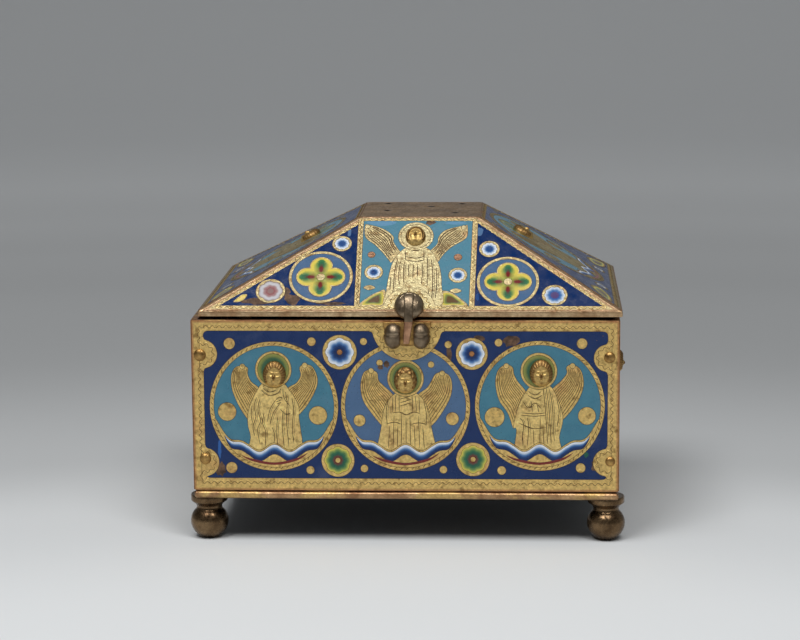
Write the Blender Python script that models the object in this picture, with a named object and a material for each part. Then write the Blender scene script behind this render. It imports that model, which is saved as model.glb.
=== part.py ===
"""Chrismatory: a box of enamelled, gilt copper plates with a hinged lid shaped like a cut-off pyramid.

Metres, +Z up, front towards -Y. The origin is on the ground under the middle of the box.
"""
import math

import bmesh
import bpy
from mathutils import Matrix, Vector

# Box
BOX_WIDTH = 0.164
BOX_DEPTH = 0.113
WALL_HEIGHT = 0.0671
PLATE_THICKNESS = 0.0024
PLATE_ROUNDING = 0.0005
BOTTOM_THICKNESS = 0.0029
BOTTOM_ROUNDING = 0.0007
BOTTOM_SEAM = 0.0005
WAVE_HEIGHT = 0.0003
WAVE_LENGTH = 0.105
WAVE_REACH = 0.012
WAVE_STATIONS = 12
TOUCH_GAP = 0.0001

# Corner tabs of the side plates, bent behind the front and back plates
TAB_LENGTH = 0.0085
TAB_THICKNESS = 0.0016
TAB_HEIGHT = 0.013

# Rivets: distance of each from the plate's side edge and from its top or lower edge, radius of its head
SHANK_RADIUS = 0.0007
SHANK_FIT = 0.00005
RIVETS_FRONT = {
    "left_upper": (0.00325, 0.0137, 0.00240),
    "left_lower": (0.00460, 0.0126, 0.00230),
    "right_upper": (0.00375, 0.0143, 0.00220),
    "right_lower": (0.00330, 0.0122, 0.00195),
}
RIVETS_BACK = {
    "left_upper": (0.00350, 0.0144, 0.00225),
    "left_lower": (0.00350, 0.0118, 0.00225),
    "right_upper": (0.00350, 0.0144, 0.00225),
    "right_lower": (0.00350, 0.0118, 0.00225),
}
RIVET_RISE = 0.55

# Feet: turned, from the ground up
FOOT_HEIGHT = 0.0175
FOOT_INSET_X = 0.0045
FOOT_INSET_Y = 0.0098
FOOT_FLAT_RADIUS = 0.0026
BALL_RADIUS = 0.0074
BALL_HEIGHT = 0.0124
NECK_RADIUS = 0.0050
NECK_LENGTH = 0.0012
BEAD_RADIUS = 0.0060
COLLAR_RADIUS = 0.0071
COLLAR_HEIGHT = 0.0027
TENON_RADIUS = 0.0020
TENON_FIT = 0.0001

# Lid
LID_GAP = 0.0012
LID_NARROWER = 0.0016
LID_SHALLOWER = 0.0
LID_HEIGHT = 0.0341
LID_SHIFT_X = 0.0019
LID_WALL = 0.0022
RIM_HEIGHT = 0.0022
TOP_WIDTH = 0.0465
TOP_DEPTH = 0.045
TOP_SHIFT_X = 0.00275
LID_ROUNDING = 0.0007

# Holes of the lost handle in the lid's top: place on the top face, from its middle
HANDLE_HOLE_RADIUS = 0.0009
HANDLE_HOLES = ((-0.0146, 0.0170), (-0.0138, -0.0045), (0.0155, 0.0165), (0.0135, -0.0114))
HANDLE_SLIT = (0.0033, 0.0079)
HANDLE_SLIT_LENGTH = 0.0062
HANDLE_SLIT_WIDTH = 0.0009

# Hinges at the back
HINGE_INSET = 0.037
HINGE_OFFSET = 0.0026
KNUCKLE_RADIUS = 0.0023
KNUCKLE_CENTRE_WIDTH = 0.0044
KNUCKLE_SIDE_WIDTH = 0.0036
KNUCKLE_GAP = 0.0002
PIN_RADIUS = 0.0010
PIN_FIT = 0.00008
PIN_END = 0.0006
LEAF_THICKNESS = 0.0013
LEAF_WIDTH = 0.0100
LEAF_LENGTH = 0.0170
LEAF_SETBACK = 0.0012

# Clasp
STAPLE_X = 0.0010
STAPLE_RADIUS = 0.0092
STAPLE_THICKNESS = 0.0012
STAPLE_DROP = 0.0006
SLOT_WIDTH = 0.0053
EAR_WIDTH = 0.0064
EAR_HEIGHT = 0.0104
EAR_REACH = 0.0043
HASP_X = 0.0018
HASP_HEIGHT = 0.0042
HASP_RADIUS = 0.0057
HASP_THICKNESS = 0.0068
HASP_TILT = math.radians(38.0)
HASP_FIT = 0.00015
TONGUE_REACH = 0.0049
TONGUE_THICKNESS = 0.0018
TONGUE_WIDTH_TOP = 0.0038
TONGUE_WIDTH_END = 0.0023
TONGUE_DRIFT_X = -0.0010
TONGUE_DROP = 0.0083
TONGUE_RISE = 0.0092
TONGUE_BEND = 0.0044
TONGUE_HOOK = 0.0013
TONGUE_BULGE = 0.0010
HASP_SEAT = 0.0012

# Applied heads: width, height and projection; on the walls, each one's distance from the nearest
# upright edge (from the middle line for the middle one) and its drop from the top edge
HEAD_WIDTH = 0.0090
HEAD_HEIGHT = 0.0105
HEAD_PROJECTION = 0.0033
SIDE_HEAD_WIDTH = 0.0080
SIDE_HEAD_HEIGHT = 0.0092
SIDE_HEAD_PROJECTION = 0.0030
LID_HEAD_WIDTH = 0.0080
LID_HEAD_HEIGHT = 0.0090
HEADS_FRONT = {"left": (0.0319, 0.0212), "middle": (0.0003, 0.0233), "right": (0.0298, 0.0204)}
SIDE_HEAD_INSET = 0.0285
SIDE_HEAD_DROP = 0.0211
LID_HEAD_FRONT_UP = 0.0363
LID_HEAD_FRONT_SHIFT = 0.0014
LID_HEAD_SIDE_UP = 0.0440

# Heights and planes that follow from the sizes above
FRONT_Y = -BOX_DEPTH / 2
BACK_Y = BOX_DEPTH / 2
WALL_BASE = FOOT_HEIGHT + BOTTOM_THICKNESS + BOTTOM_SEAM
WALL_TOP = WALL_BASE + WALL_HEIGHT
LID_BASE = WALL_TOP + LID_GAP
LID_WIDTH = BOX_WIDTH - LID_NARROWER
LID_DEPTH = BOX_DEPTH - LID_SHALLOWER
RIM_TOP = LID_BASE + RIM_HEIGHT
LID_TOP = LID_BASE + LID_HEIGHT
LID_RISE = LID_TOP - RIM_TOP
TOP_X = LID_SHIFT_X + TOP_SHIFT_X
HINGE_Y = BACK_Y + HINGE_OFFSET
HINGE_Z = WALL_TOP + LID_GAP / 2
HINGE_AXIS = Vector((0.0, HINGE_Y, HINGE_Z))

# Facets of round shapes
FOOT_SIDES = 16
RIVET_SIDES = 10
HOLE_SIDES = 12
BALL_STEPS = 8
RIVET_STEPS = 3
HEAD_SIDES = 18
HEAD_RINGS = (0.99, 0.86, 0.72, 0.58, 0.44, 0.30, 0.18, 0.06)


def clear_scene():
    """Take every object out of the scene."""
    for old in list(bpy.data.objects):
        bpy.data.objects.remove(old, do_unlink=True)


def make_material(name, colour, roughness, metallic):
    """A Principled material with one colour."""
    material = bpy.data.materials.new(name)
    material.use_nodes = True
    shader = material.node_tree.nodes["Principled BSDF"]
    shader.inputs["Base Color"].default_value = (*colour, 1.0)
    shader.inputs["Roughness"].default_value = roughness
    shader.inputs["Metallic"].default_value = metallic
    return material


def make_object(name, shape, material, location=(0.0, 0.0, 0.0), parent=None):
    """Turn a bmesh into an object whose origin is at a place given in world coordinates."""
    bmesh.ops.recalc_face_normals(shape, faces=shape.faces[:])
    mesh = bpy.data.meshes.new(name)
    shape.to_mesh(mesh)
    shape.free()
    made = bpy.data.objects.new(name, mesh)
    bpy.context.scene.collection.objects.link(made)
    made.data.materials.append(material)
    made.location = Vector(location)
    if parent is not None:
        made.parent = parent
        made.location = Vector(location) - parent.location
    return made


def make_cutter(name, shape, location=(0.0, 0.0, 0.0), parent=None):
    """A hidden object that only a Boolean uses."""
    cutter = make_object(name, shape, materials["gilt"], location, parent)
    cutter.hide_render = True
    cutter.display_type = "WIRE"
    return cutter


def add_boolean(target, tool, operation):
    """Cut a tool out of an object, or join it on."""
    modifier = target.modifiers.new(operation.lower(), "BOOLEAN")
    modifier.operation = operation
    modifier.solver = "EXACT"
    modifier.object = tool


def add_bevel(target, width, segments, angle):
    """Round every edge that turns by more than an angle."""
    modifier = target.modifiers.new("rounding", "BEVEL")
    modifier.width = width
    modifier.segments = segments
    modifier.limit_method = "ANGLE"
    modifier.angle_limit = angle


def smooth(target, angle=math.radians(40.0)):
    """Shade a round piece smooth, with its sharp edges kept."""
    target.data.shade_smooth()
    target.data.set_sharp_from_angle(angle=angle)


def add_block(shape, low, high):
    """Add a box between two corners to a bmesh."""
    low = Vector(low)
    high = Vector(high)
    size = high - low
    place = Matrix.Translation((low + high) / 2) @ Matrix.Diagonal((*size, 1.0))
    bmesh.ops.create_cube(shape, size=1.0, matrix=place)


def add_rod(shape, centre, direction, radius, length, sides=HOLE_SIDES):
    """Add a closed round rod, centred on a point, to a bmesh."""
    turn = Vector((0.0, 0.0, 1.0)).rotation_difference(Vector(direction)).to_matrix().to_4x4()
    place = Matrix.Translation(Vector(centre)) @ turn
    bmesh.ops.create_cone(
        shape, cap_ends=True, segments=sides, radius1=radius, radius2=radius, depth=length, matrix=place
    )


def add_rings(shape, rings):
    """Join rings of equal point counts into a closed skin with flat ends."""
    loops = [[shape.verts.new(point) for point in ring] for ring in rings]
    count = len(loops[0])
    for lower, upper in zip(loops, loops[1:]):
        for i in range(count):
            j = (i + 1) % count
            shape.faces.new((lower[i], lower[j], upper[j], upper[i]))
    shape.faces.new(list(reversed(loops[0])))
    shape.faces.new(loops[-1])


def turned(profile, sides):
    """A closed round piece about Z from (radius, height) pairs."""
    shape = bmesh.new()
    angles = [2 * math.pi * i / sides for i in range(sides)]
    rings = [[(r * math.cos(a), r * math.sin(a), z) for a in angles] for r, z in profile]
    add_rings(shape, rings)
    return shape


def add_outline(shape, points, low, high, to_world):
    """Add a flat outline in two coordinates, thickened between two depths."""
    rings = [[to_world(u, v, depth) for u, v in points] for depth in (low, high)]
    add_rings(shape, rings)


def cut_flat(shape, point, normal):
    """Take away what lies beyond a plane, and close the cut."""
    everything = shape.verts[:] + shape.edges[:] + shape.faces[:]
    result = bmesh.ops.bisect_plane(
        shape, geom=everything, dist=1e-7, plane_co=point, plane_no=normal, clear_outer=True
    )
    rim = [part for part in result["geom_cut"] if isinstance(part, bmesh.types.BMEdge)]
    bmesh.ops.edgeloop_fill(shape, edges=rim)


# Walls


def rivet_place(corner, inset, from_edge):
    """Sideways place and height of a rivet; corner is such as "left_upper"."""
    side, level = corner.split("_")
    x = (BOX_WIDTH / 2 - inset) * (-1 if side == "left" else 1)
    height = WALL_TOP - from_edge if level == "upper" else WALL_BASE + from_edge
    return x, height


def make_broad_plate(name, rivets, facing):
    """Front or back plate; facing is -1 for the front and +1 for the back."""
    outer = facing * BOX_DEPTH / 2
    inner = outer - facing * PLATE_THICKNESS
    shape = bmesh.new()
    add_block(
        shape,
        (-BOX_WIDTH / 2, min(outer, inner), WALL_BASE),
        (BOX_WIDTH / 2, max(outer, inner), WALL_TOP),
    )
    plate = make_object(name, shape, materials["enamel"])
    add_bevel(plate, PLATE_ROUNDING, 2, math.radians(60.0))
    holes = bmesh.new()
    for corner, (inset, from_edge, _) in rivets.items():
        x, height = rivet_place(corner, inset, from_edge)
        centre = (x, outer, height)
        add_rod(holes, centre, (0, 1, 0), SHANK_RADIUS + SHANK_FIT, 4 * PLATE_THICKNESS)
    add_boolean(plate, make_cutter(name + "_holes", holes), "DIFFERENCE")
    return plate


def make_side_plate(name, hand):
    """Left (-1) or right (+1) plate with a tab for each of its four rivets."""
    outer = hand * BOX_WIDTH / 2
    inner = outer - hand * PLATE_THICKNESS
    tab_end = inner - hand * TAB_LENGTH
    reach = BOX_DEPTH / 2 - PLATE_THICKNESS - TOUCH_GAP
    shape = bmesh.new()
    add_block(shape, (min(outer, inner), -reach, WALL_BASE), (max(outer, inner), reach, WALL_TOP))
    plate = make_object(name, shape, materials["enamel"])
    tabs = bmesh.new()
    holes = bmesh.new()
    root = (outer + inner) / 2
    side = name.split("_")[0]
    for facing, rivets in ((-1, RIVETS_FRONT), (1, RIVETS_BACK)):
        for level in ("upper", "lower"):
            corner = side + "_" + level
            inset, from_edge, _ = rivets[corner]
            x, height = rivet_place(corner, inset, from_edge)
            near = facing * reach
            far = facing * (reach - TAB_THICKNESS)
            add_block(
                tabs,
                (min(root, tab_end), min(near, far), height - TAB_HEIGHT / 2),
                (max(root, tab_end), max(near, far), height + TAB_HEIGHT / 2),
            )
            centre = (x, near, height)
            add_rod(holes, centre, (0, 1, 0), SHANK_RADIUS + SHANK_FIT, 4 * TAB_THICKNESS)
    add_boolean(plate, make_cutter(name + "_tabs", tabs), "UNION")
    add_boolean(plate, make_cutter(name + "_holes", holes), "DIFFERENCE")
    return plate


def make_rivets(face, rivets, facing):
    """Domed rivets; their shanks end flush inside the tabs."""
    depth = PLATE_THICKNESS + TOUCH_GAP + TAB_THICKNESS
    for corner, (inset, from_edge, head) in rivets.items():
        profile = [(SHANK_RADIUS, -depth), (SHANK_RADIUS, SHANK_FIT), (head, SHANK_FIT)]
        for step in range(1, RIVET_STEPS + 1):
            turn = math.radians(75.0) * step / RIVET_STEPS
            profile.append((head * math.cos(turn), SHANK_FIT + RIVET_RISE * head * math.sin(turn)))
        x, height = rivet_place(corner, inset, from_edge)
        place = (x, facing * BOX_DEPTH / 2, height)
        shape = turned(profile, RIVET_SIDES)
        rivet = make_object(f"rivet_{face}_{corner}", shape, materials["bronze"], place)
        rivet.rotation_euler = (-facing * math.pi / 2, 0.0, 0.0)
        smooth(rivet)


def bottom_wave(x):
    """How far the bottom sheet's front edge is bent up."""
    along = 2 * math.pi * x / WAVE_LENGTH
    return WAVE_HEIGHT * (0.5 + 0.35 * math.sin(along + 0.6) + 0.15 * math.sin(2.3 * along))


def make_bottom_plate():
    """Copper sheet under the walls, with holes for the feet's tenons."""
    rings = []
    for i in range(WAVE_STATIONS + 1):
        x = BOX_WIDTH * (i / WAVE_STATIONS - 0.5)
        bend = bottom_wave(x)
        top = FOOT_HEIGHT + BOTTOM_THICKNESS
        rings.append([
            (x, FRONT_Y, FOOT_HEIGHT + bend),
            (x, FRONT_Y + WAVE_REACH, FOOT_HEIGHT),
            (x, BACK_Y, FOOT_HEIGHT),
            (x, BACK_Y, top),
            (x, FRONT_Y + WAVE_REACH, top),
            (x, FRONT_Y, top + bend),
        ])
    shape = bmesh.new()
    add_rings(shape, rings)
    plate = make_object("bottom_plate", shape, materials["copper"])
    add_bevel(plate, BOTTOM_ROUNDING, 1, math.radians(60.0))
    holes = bmesh.new()
    for x, y in foot_places().values():
        add_rod(holes, (x, y, FOOT_HEIGHT), (0, 0, 1), TENON_RADIUS + TENON_FIT, 4 * BOTTOM_THICKNESS)
    add_boolean(plate, make_cutter("bottom_plate_holes", holes), "DIFFERENCE")


# Feet


def foot_places():
    """Centre of each foot on the ground."""
    x = BOX_WIDTH / 2 - FOOT_INSET_X
    y = BOX_DEPTH / 2 - FOOT_INSET_Y
    return {
        "front_left": (-x, -y),
        "front_right": (x, -y),
        "back_left": (-x, y),
        "back_right": (x, y),
    }


def foot_profile():
    """Ball, neck, bead, flaring collar and tenon, as (radius, height) pairs."""
    half = BALL_HEIGHT / 2
    start = math.acos(FOOT_FLAT_RADIUS / BALL_RADIUS)
    end = math.acos(NECK_RADIUS / BALL_RADIUS)
    profile = []
    for i in range(BALL_STEPS):
        turn = -start + (start + end) * i / (BALL_STEPS - 1)
        lift = math.sin(turn) / (math.sin(start) if turn < 0 else 1.0)
        profile.append((BALL_RADIUS * math.cos(turn), half + half * lift))
    neck_top = profile[-1][1] + NECK_LENGTH
    collar_top = FOOT_HEIGHT - TOUCH_GAP
    collar_base = collar_top - COLLAR_HEIGHT
    bead = (neck_top + collar_base) / 2
    profile += [
        (NECK_RADIUS * 0.96, neck_top),
        (BEAD_RADIUS, bead),
        (NECK_RADIUS, collar_base),
        (COLLAR_RADIUS, collar_base + 0.45 * COLLAR_HEIGHT),
        (COLLAR_RADIUS, collar_top),
        (TENON_RADIUS, collar_top),
        (TENON_RADIUS, FOOT_HEIGHT + BOTTOM_THICKNESS),
    ]
    return profile


def make_feet():
    """Four equal turned feet."""
    for name, (x, y) in foot_places().items():
        shape = turned(foot_profile(), FOOT_SIDES)
        foot = make_object("foot_" + name, shape, materials["bronze"], (x, y, 0.0))
        smooth(foot)


# Lid


def lid_rectangles(grow=0.0):
    """Outer rectangles of the lid from its lower edge up: (height, x low, x high, y low, y high)."""
    base = (
        LID_SHIFT_X - LID_WIDTH / 2 - grow,
        LID_SHIFT_X + LID_WIDTH / 2 + grow,
        -LID_DEPTH / 2 - grow,
        LID_DEPTH / 2 + grow,
    )
    top = (
        TOP_X - TOP_WIDTH / 2 - grow,
        TOP_X + TOP_WIDTH / 2 + grow,
        -TOP_DEPTH / 2 - grow,
        TOP_DEPTH / 2 + grow,
    )
    return [(LID_BASE - grow, *base), (RIM_TOP, *base), (LID_TOP + grow, *top)]


def rectangle_ring(height, x_low, x_high, y_low, y_high):
    """Four corner points of a level rectangle."""
    return [
        (x_low, y_low, height),
        (x_high, y_low, height),
        (x_high, y_high, height),
        (x_low, y_high, height),
    ]


def lid_inner_rectangles():
    """Rectangles of the hollow, one true wall inside each slope, from the top down."""
    _, base, top = lid_rectangles()
    runs = [abs(t - b) for b, t in zip(base[1:], top[1:])]
    insets = [LID_WALL * math.hypot(run, LID_RISE) / LID_RISE for run in runs]
    signs = (1, -1, 1, -1)
    roof = LID_TOP - LID_WALL
    share = (roof - RIM_TOP) / LID_RISE
    upper = [b + s * (inset + run * share) for b, s, inset, run in zip(base[1:], signs, insets, runs)]
    lower = [b + s * LID_WALL for b, s in zip(base[1:], signs)]
    drops = [(inset - LID_WALL) * LID_RISE / run for inset, run in zip(insets, runs)]
    bend = RIM_TOP - sum(drops) / len(drops)
    return [(roof, *upper), (bend, *lower), (LID_BASE, *lower)]


def make_lid(axis):
    """Hollow cut-off pyramid with a low upright rim, open below."""
    outer = [rectangle_ring(*row) for row in lid_rectangles()]
    inner = [rectangle_ring(*row) for row in lid_inner_rectangles()]
    shape = bmesh.new()
    loops = [[shape.verts.new(Vector(p) - axis.location) for p in ring] for ring in outer + inner]
    for number, (lower, upper) in enumerate(zip(loops, loops[1:])):
        if number == len(outer) - 1:
            continue
        for i in range(4):
            shape.faces.new((lower[i], lower[(i + 1) % 4], upper[(i + 1) % 4], upper[i]))
    shape.faces.new(loops[len(outer) - 1])
    shape.faces.new(loops[len(outer)])
    for i in range(4):
        j = (i + 1) % 4
        shape.faces.new((loops[0][i], loops[0][j], loops[-1][j], loops[-1][i]))
    lid = make_object("lid", shape, materials["enamel"], axis.location, axis)
    add_bevel(lid, LID_ROUNDING, 2, math.radians(20.0))
    holes = bmesh.new()
    for x, y in HANDLE_HOLES:
        add_rod(holes, Vector((TOP_X + x, y, LID_TOP)), (0, 0, 1), HANDLE_HOLE_RADIUS, 4 * LID_WALL, 10)
    slit = Vector((TOP_X + HANDLE_SLIT[0], HANDLE_SLIT[1], LID_TOP))
    reach = Vector((HANDLE_SLIT_LENGTH / 2, HANDLE_SLIT_WIDTH / 2, 2 * LID_WALL))
    add_block(holes, slit - reach, slit + reach)
    add_boolean(lid, make_cutter("lid_holes", holes), "DIFFERENCE")


def slope_frame(side):
    """Axes on a slope of the lid: (middle of its lower edge, sideways, up the slope, outwards)."""
    _, base, top = lid_rectangles()
    base_x = (base[1] + base[2]) / 2
    top_x = (top[1] + top[2]) / 2
    starts = {
        "front": ((base_x, base[3]), (top_x, top[3]), (1, 0)),
        "back": ((base_x, base[4]), (top_x, top[4]), (-1, 0)),
        "left": ((base[1], 0.0), (top[1], 0.0), (0, -1)),
        "right": ((base[2], 0.0), (top[2], 0.0), (0, 1)),
    }
    low, high, sideways = starts[side]
    start = Vector((*low, RIM_TOP))
    across = Vector((*sideways, 0.0))
    climb = Vector((*high, LID_TOP)) - start
    climb -= across * climb.dot(across)
    up = climb.normalized()
    return start, across, up, across.cross(up)


# Applied heads


def head_relief(u, v):
    """Height of a head's face over its rim, from -1..1 across and up: a calm, even, general face."""

    def bump(x, y, wide, high):
        return math.exp(-(((u - x) / wide) ** 2) - (((v - y) / high) ** 2))

    dome = math.sqrt(max(0.0, 1.0 - u * u - v * v))
    hairline = u * u / 0.42 + (v + 0.14) ** 2 / 0.56
    height = 0.80 * dome
    if hairline > 1.0 and v > -0.55:
        height += 0.12 + 0.05 * math.sin(12.0 * math.atan2(u, v + 0.2))
    height += 0.30 * bump(0.0, -0.12, 0.11, 0.18)
    height += 0.10 * bump(0.0, 0.24, 0.40, 0.07)
    height -= 0.20 * (bump(-0.26, 0.07, 0.14, 0.10) + bump(0.26, 0.07, 0.14, 0.10))
    height -= 0.10 * bump(0.0, -0.45, 0.22, 0.05)
    height += 0.08 * (bump(0.0, -0.37, 0.16, 0.05) + bump(0.0, -0.54, 0.14, 0.06))
    height += 0.14 * bump(0.0, -0.72, 0.20, 0.12)
    return height


def make_head(name, width, height, projection, frame, parent=None):
    """A cast head with a flat back; frame is (place, sideways, up, outwards)."""
    place, across, up, out = frame
    angles = [2 * math.pi * i / HEAD_SIDES for i in range(HEAD_SIDES)]
    directions = [(math.sin(angle), math.cos(angle)) for angle in angles]
    rings = [[(width / 2 * u, height / 2 * v, TOUCH_GAP) for u, v in directions]]
    for share in HEAD_RINGS:
        ring = []
        for across_share, up_share in directions:
            u = share * across_share
            v = share * up_share
            ring.append((width / 2 * u, height / 2 * v, projection * head_relief(u, v)))
        rings.append(ring)
    shape = bmesh.new()
    add_rings(shape, rings)
    head = make_object(name, shape, materials["bronze_gilt"], place, parent)
    turn = Matrix((across, up, out)).transposed()
    head.rotation_euler = turn.to_euler()
    smooth(head, math.radians(50.0))
    return head


def make_heads(axis):
    """Heads of the angels on the front, on both sides and on three slopes of the lid."""
    up = Vector((0.0, 0.0, 1.0))
    starts = {"left": (-BOX_WIDTH / 2, 1), "middle": (0.0, 1), "right": (BOX_WIDTH / 2, -1)}
    for side, (inset, drop) in HEADS_FRONT.items():
        edge, hand = starts[side]
        place = Vector((edge + hand * inset, FRONT_Y, WALL_TOP - drop))
        frame = (place, Vector((1, 0, 0)), up, Vector((0, -1, 0)))
        make_head("head_front_" + side, HEAD_WIDTH, HEAD_HEIGHT, HEAD_PROJECTION, frame)
    for side, hand in (("left", -1), ("right", 1)):
        for end, facing in (("front", -1), ("back", 1)):
            y = facing * (BOX_DEPTH / 2 - SIDE_HEAD_INSET)
            place = Vector((hand * BOX_WIDTH / 2, y, WALL_TOP - SIDE_HEAD_DROP))
            frame = (place, Vector((0, hand, 0)), up, Vector((hand, 0, 0)))
            sizes = (SIDE_HEAD_WIDTH, SIDE_HEAD_HEIGHT, SIDE_HEAD_PROJECTION)
            make_head(f"head_{side}_{end}", *sizes, frame)
    for side in ("front", "left", "right"):
        along = LID_HEAD_FRONT_UP if side == "front" else LID_HEAD_SIDE_UP
        shift = LID_HEAD_FRONT_SHIFT if side == "front" else 0.0
        start, across, climb, out = slope_frame(side)
        place = start + across * shift + climb * along
        sizes = (LID_HEAD_WIDTH, LID_HEAD_HEIGHT, SIDE_HEAD_PROJECTION)
        make_head("head_lid_" + side, *sizes, (place, across, climb, out), axis)


# Clasp


def make_staple():
    """Half-round boss with two rounded ears and a slot between them for the tongue."""
    face = FRONT_Y - TOUCH_GAP
    centre_z = WALL_TOP - STAPLE_DROP
    steps = 20
    outline = [
        (
            STAPLE_X + STAPLE_RADIUS * math.cos(math.pi + math.pi * i / steps),
            centre_z + STAPLE_RADIUS * math.sin(math.pi + math.pi * i / steps),
        )
        for i in range(steps + 1)
    ]
    shape = bmesh.new()
    add_outline(shape, outline, face, face - STAPLE_THICKNESS, lambda u, v, depth: (u, depth, v))
    staple = make_object("clasp_staple", shape, materials["bronze"])
    for name, hand in (("left", -1), ("right", 1)):
        ear = bmesh.new()
        slot_side = STAPLE_X + hand * SLOT_WIDTH / 2
        centre = Vector((slot_side + hand * 0.40 * EAR_WIDTH, face, centre_z - EAR_HEIGHT / 2))
        half = Vector((0.60 * EAR_WIDTH, EAR_REACH - TOUCH_GAP, EAR_HEIGHT / 2))
        place = Matrix.Translation(centre) @ Matrix.Diagonal((*half, 1.0))
        bmesh.ops.create_uvsphere(ear, u_segments=16, v_segments=10, radius=1.0, matrix=place)
        cut_flat(ear, Vector((slot_side, 0, 0)), Vector((-hand, 0, 0)))
        cut_flat(ear, Vector((0, face - STAPLE_THICKNESS / 2, 0)), Vector((0, 1, 0)))
        add_boolean(staple, make_cutter("clasp_ear_" + name, ear), "UNION")
    smooth(staple)


def tongue_path():
    """Middle line of the tongue down the hasp's front: (share of drift, y, z)."""
    middle = FRONT_Y - TONGUE_REACH + TONGUE_THICKNESS / 2
    bulge_z = LID_BASE - TONGUE_BULGE
    end_z = WALL_TOP - TONGUE_DROP
    points = []
    for step in range(5):
        turn = math.pi / 2 * (1 - step / 4)
        y = middle + TONGUE_BEND * (1.0 - math.cos(turn))
        points.append((0.0, y, bulge_z + TONGUE_RISE * math.sin(turn)))
    for step in range(1, 5):
        share = step / 4
        y = middle + TONGUE_HOOK * share ** 2
        points.append((share, y, bulge_z + (end_z - bulge_z) * share))
    return points


def make_hasp(axis):
    """Domed disc on the lid's front edge with its curved tongue, one casting."""
    centre = Vector((HASP_X, FRONT_Y + HASP_SEAT, LID_BASE + HASP_HEIGHT))
    out = Vector((0.0, -math.cos(HASP_TILT), math.sin(HASP_TILT)))
    across = Vector((1.0, 0.0, 0.0))
    turn = Matrix((across, out.cross(across), out)).transposed().to_4x4()
    scale = Matrix.Diagonal((HASP_RADIUS, HASP_RADIUS, HASP_THICKNESS / 2, 1.0))
    dome = bmesh.new()
    bmesh.ops.create_uvsphere(
        dome,
        u_segments=20,
        v_segments=10,
        radius=1.0,
        matrix=Matrix.Translation(centre - axis.location) @ turn @ scale,
    )
    cut_flat(dome, Vector((0, 0, LID_BASE - LID_GAP / 2)) - axis.location, Vector((0, 0, -1)))
    hasp = make_object("clasp_hasp", dome, materials["bronze"], axis.location, axis)
    room = bmesh.new()
    rectangles = [rectangle_ring(*row) for row in lid_rectangles(HASP_FIT)]
    add_rings(room, [[Vector(p) - axis.location for p in ring] for ring in rectangles])
    add_boolean(hasp, make_cutter("lid_room", room, axis.location, axis), "DIFFERENCE")

    path = tongue_path()
    rings = []
    for i, (share, y, z) in enumerate(path):
        before = path[max(i - 1, 0)]
        after = path[min(i + 1, len(path) - 1)]
        along = Vector((0.0, after[1] - before[1], after[2] - before[2])).normalized()
        outward = Vector((0.0, along.z, -along.y))
        if outward.y > 0:
            outward.negate()
        width = TONGUE_WIDTH_TOP + (TONGUE_WIDTH_END - TONGUE_WIDTH_TOP) * i / (len(path) - 1)
        middle = Vector((HASP_X + TONGUE_DRIFT_X * share, y, z)) - axis.location
        ring = []
        for k in range(8):
            turn_k = math.radians(22.5 + 45.0 * k)
            side = math.cos(turn_k) / math.cos(math.radians(22.5)) * width / 2
            deep = math.sin(turn_k) / math.cos(math.radians(22.5)) * TONGUE_THICKNESS / 2
            ring.append(middle + across * side + outward * deep)
        rings.append(ring)
    tongue = bmesh.new()
    add_rings(tongue, rings)
    add_boolean(hasp, make_cutter("clasp_tongue", tongue, axis.location, axis), "UNION")
    smooth(hasp)


# Hinges


def knuckle_rods(x, parts, radius):
    """Round rods on the hinge's axis for each (start, end) beside a hinge's middle."""
    shape = bmesh.new()
    for start, end in parts:
        centre = (x + (start + end) / 2, HINGE_Y, HINGE_Z)
        add_rod(shape, centre, (1, 0, 0), radius, abs(end - start))
    return shape


def leaf_outline(width, length, root):
    """Strap outline with a round end: (across, along) points, starting at its root."""
    half = width / 2
    points = [(-half, root), (half, root)]
    steps = 8
    for i in range(steps + 1):
        turn = math.pi * i / steps
        points.append((half * math.cos(turn), length - half + half * math.sin(turn)))
    return points


def make_box_leaf(name, x):
    """Strap on the back plate with the two outer knuckles."""
    near = BACK_Y + TOUCH_GAP
    centre_half = KNUCKLE_CENTRE_WIDTH / 2 + KNUCKLE_GAP
    edge = centre_half + KNUCKLE_SIDE_WIDTH
    shape = bmesh.new()
    outline = leaf_outline(2 * edge, LEAF_LENGTH, 0.0)
    add_outline(
        shape, outline, near, near + LEAF_THICKNESS, lambda u, v, depth: (x + u, depth, HINGE_Z - v)
    )
    leaf = make_object(name, shape, materials["bronze_gilt"])
    outer = knuckle_rods(x, ((-edge, -centre_half), (centre_half, edge)), KNUCKLE_RADIUS)
    add_boolean(leaf, make_cutter(name + "_knuckles", outer), "UNION")
    room = knuckle_rods(x, ((-centre_half, centre_half),), KNUCKLE_RADIUS + 2 * KNUCKLE_GAP)
    add_boolean(leaf, make_cutter(name + "_room", room), "DIFFERENCE")
    bore = knuckle_rods(x, ((-2 * edge, 2 * edge),), PIN_RADIUS + PIN_FIT)
    add_boolean(leaf, make_cutter(name + "_bore", bore), "DIFFERENCE")
    smooth(leaf)


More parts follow.
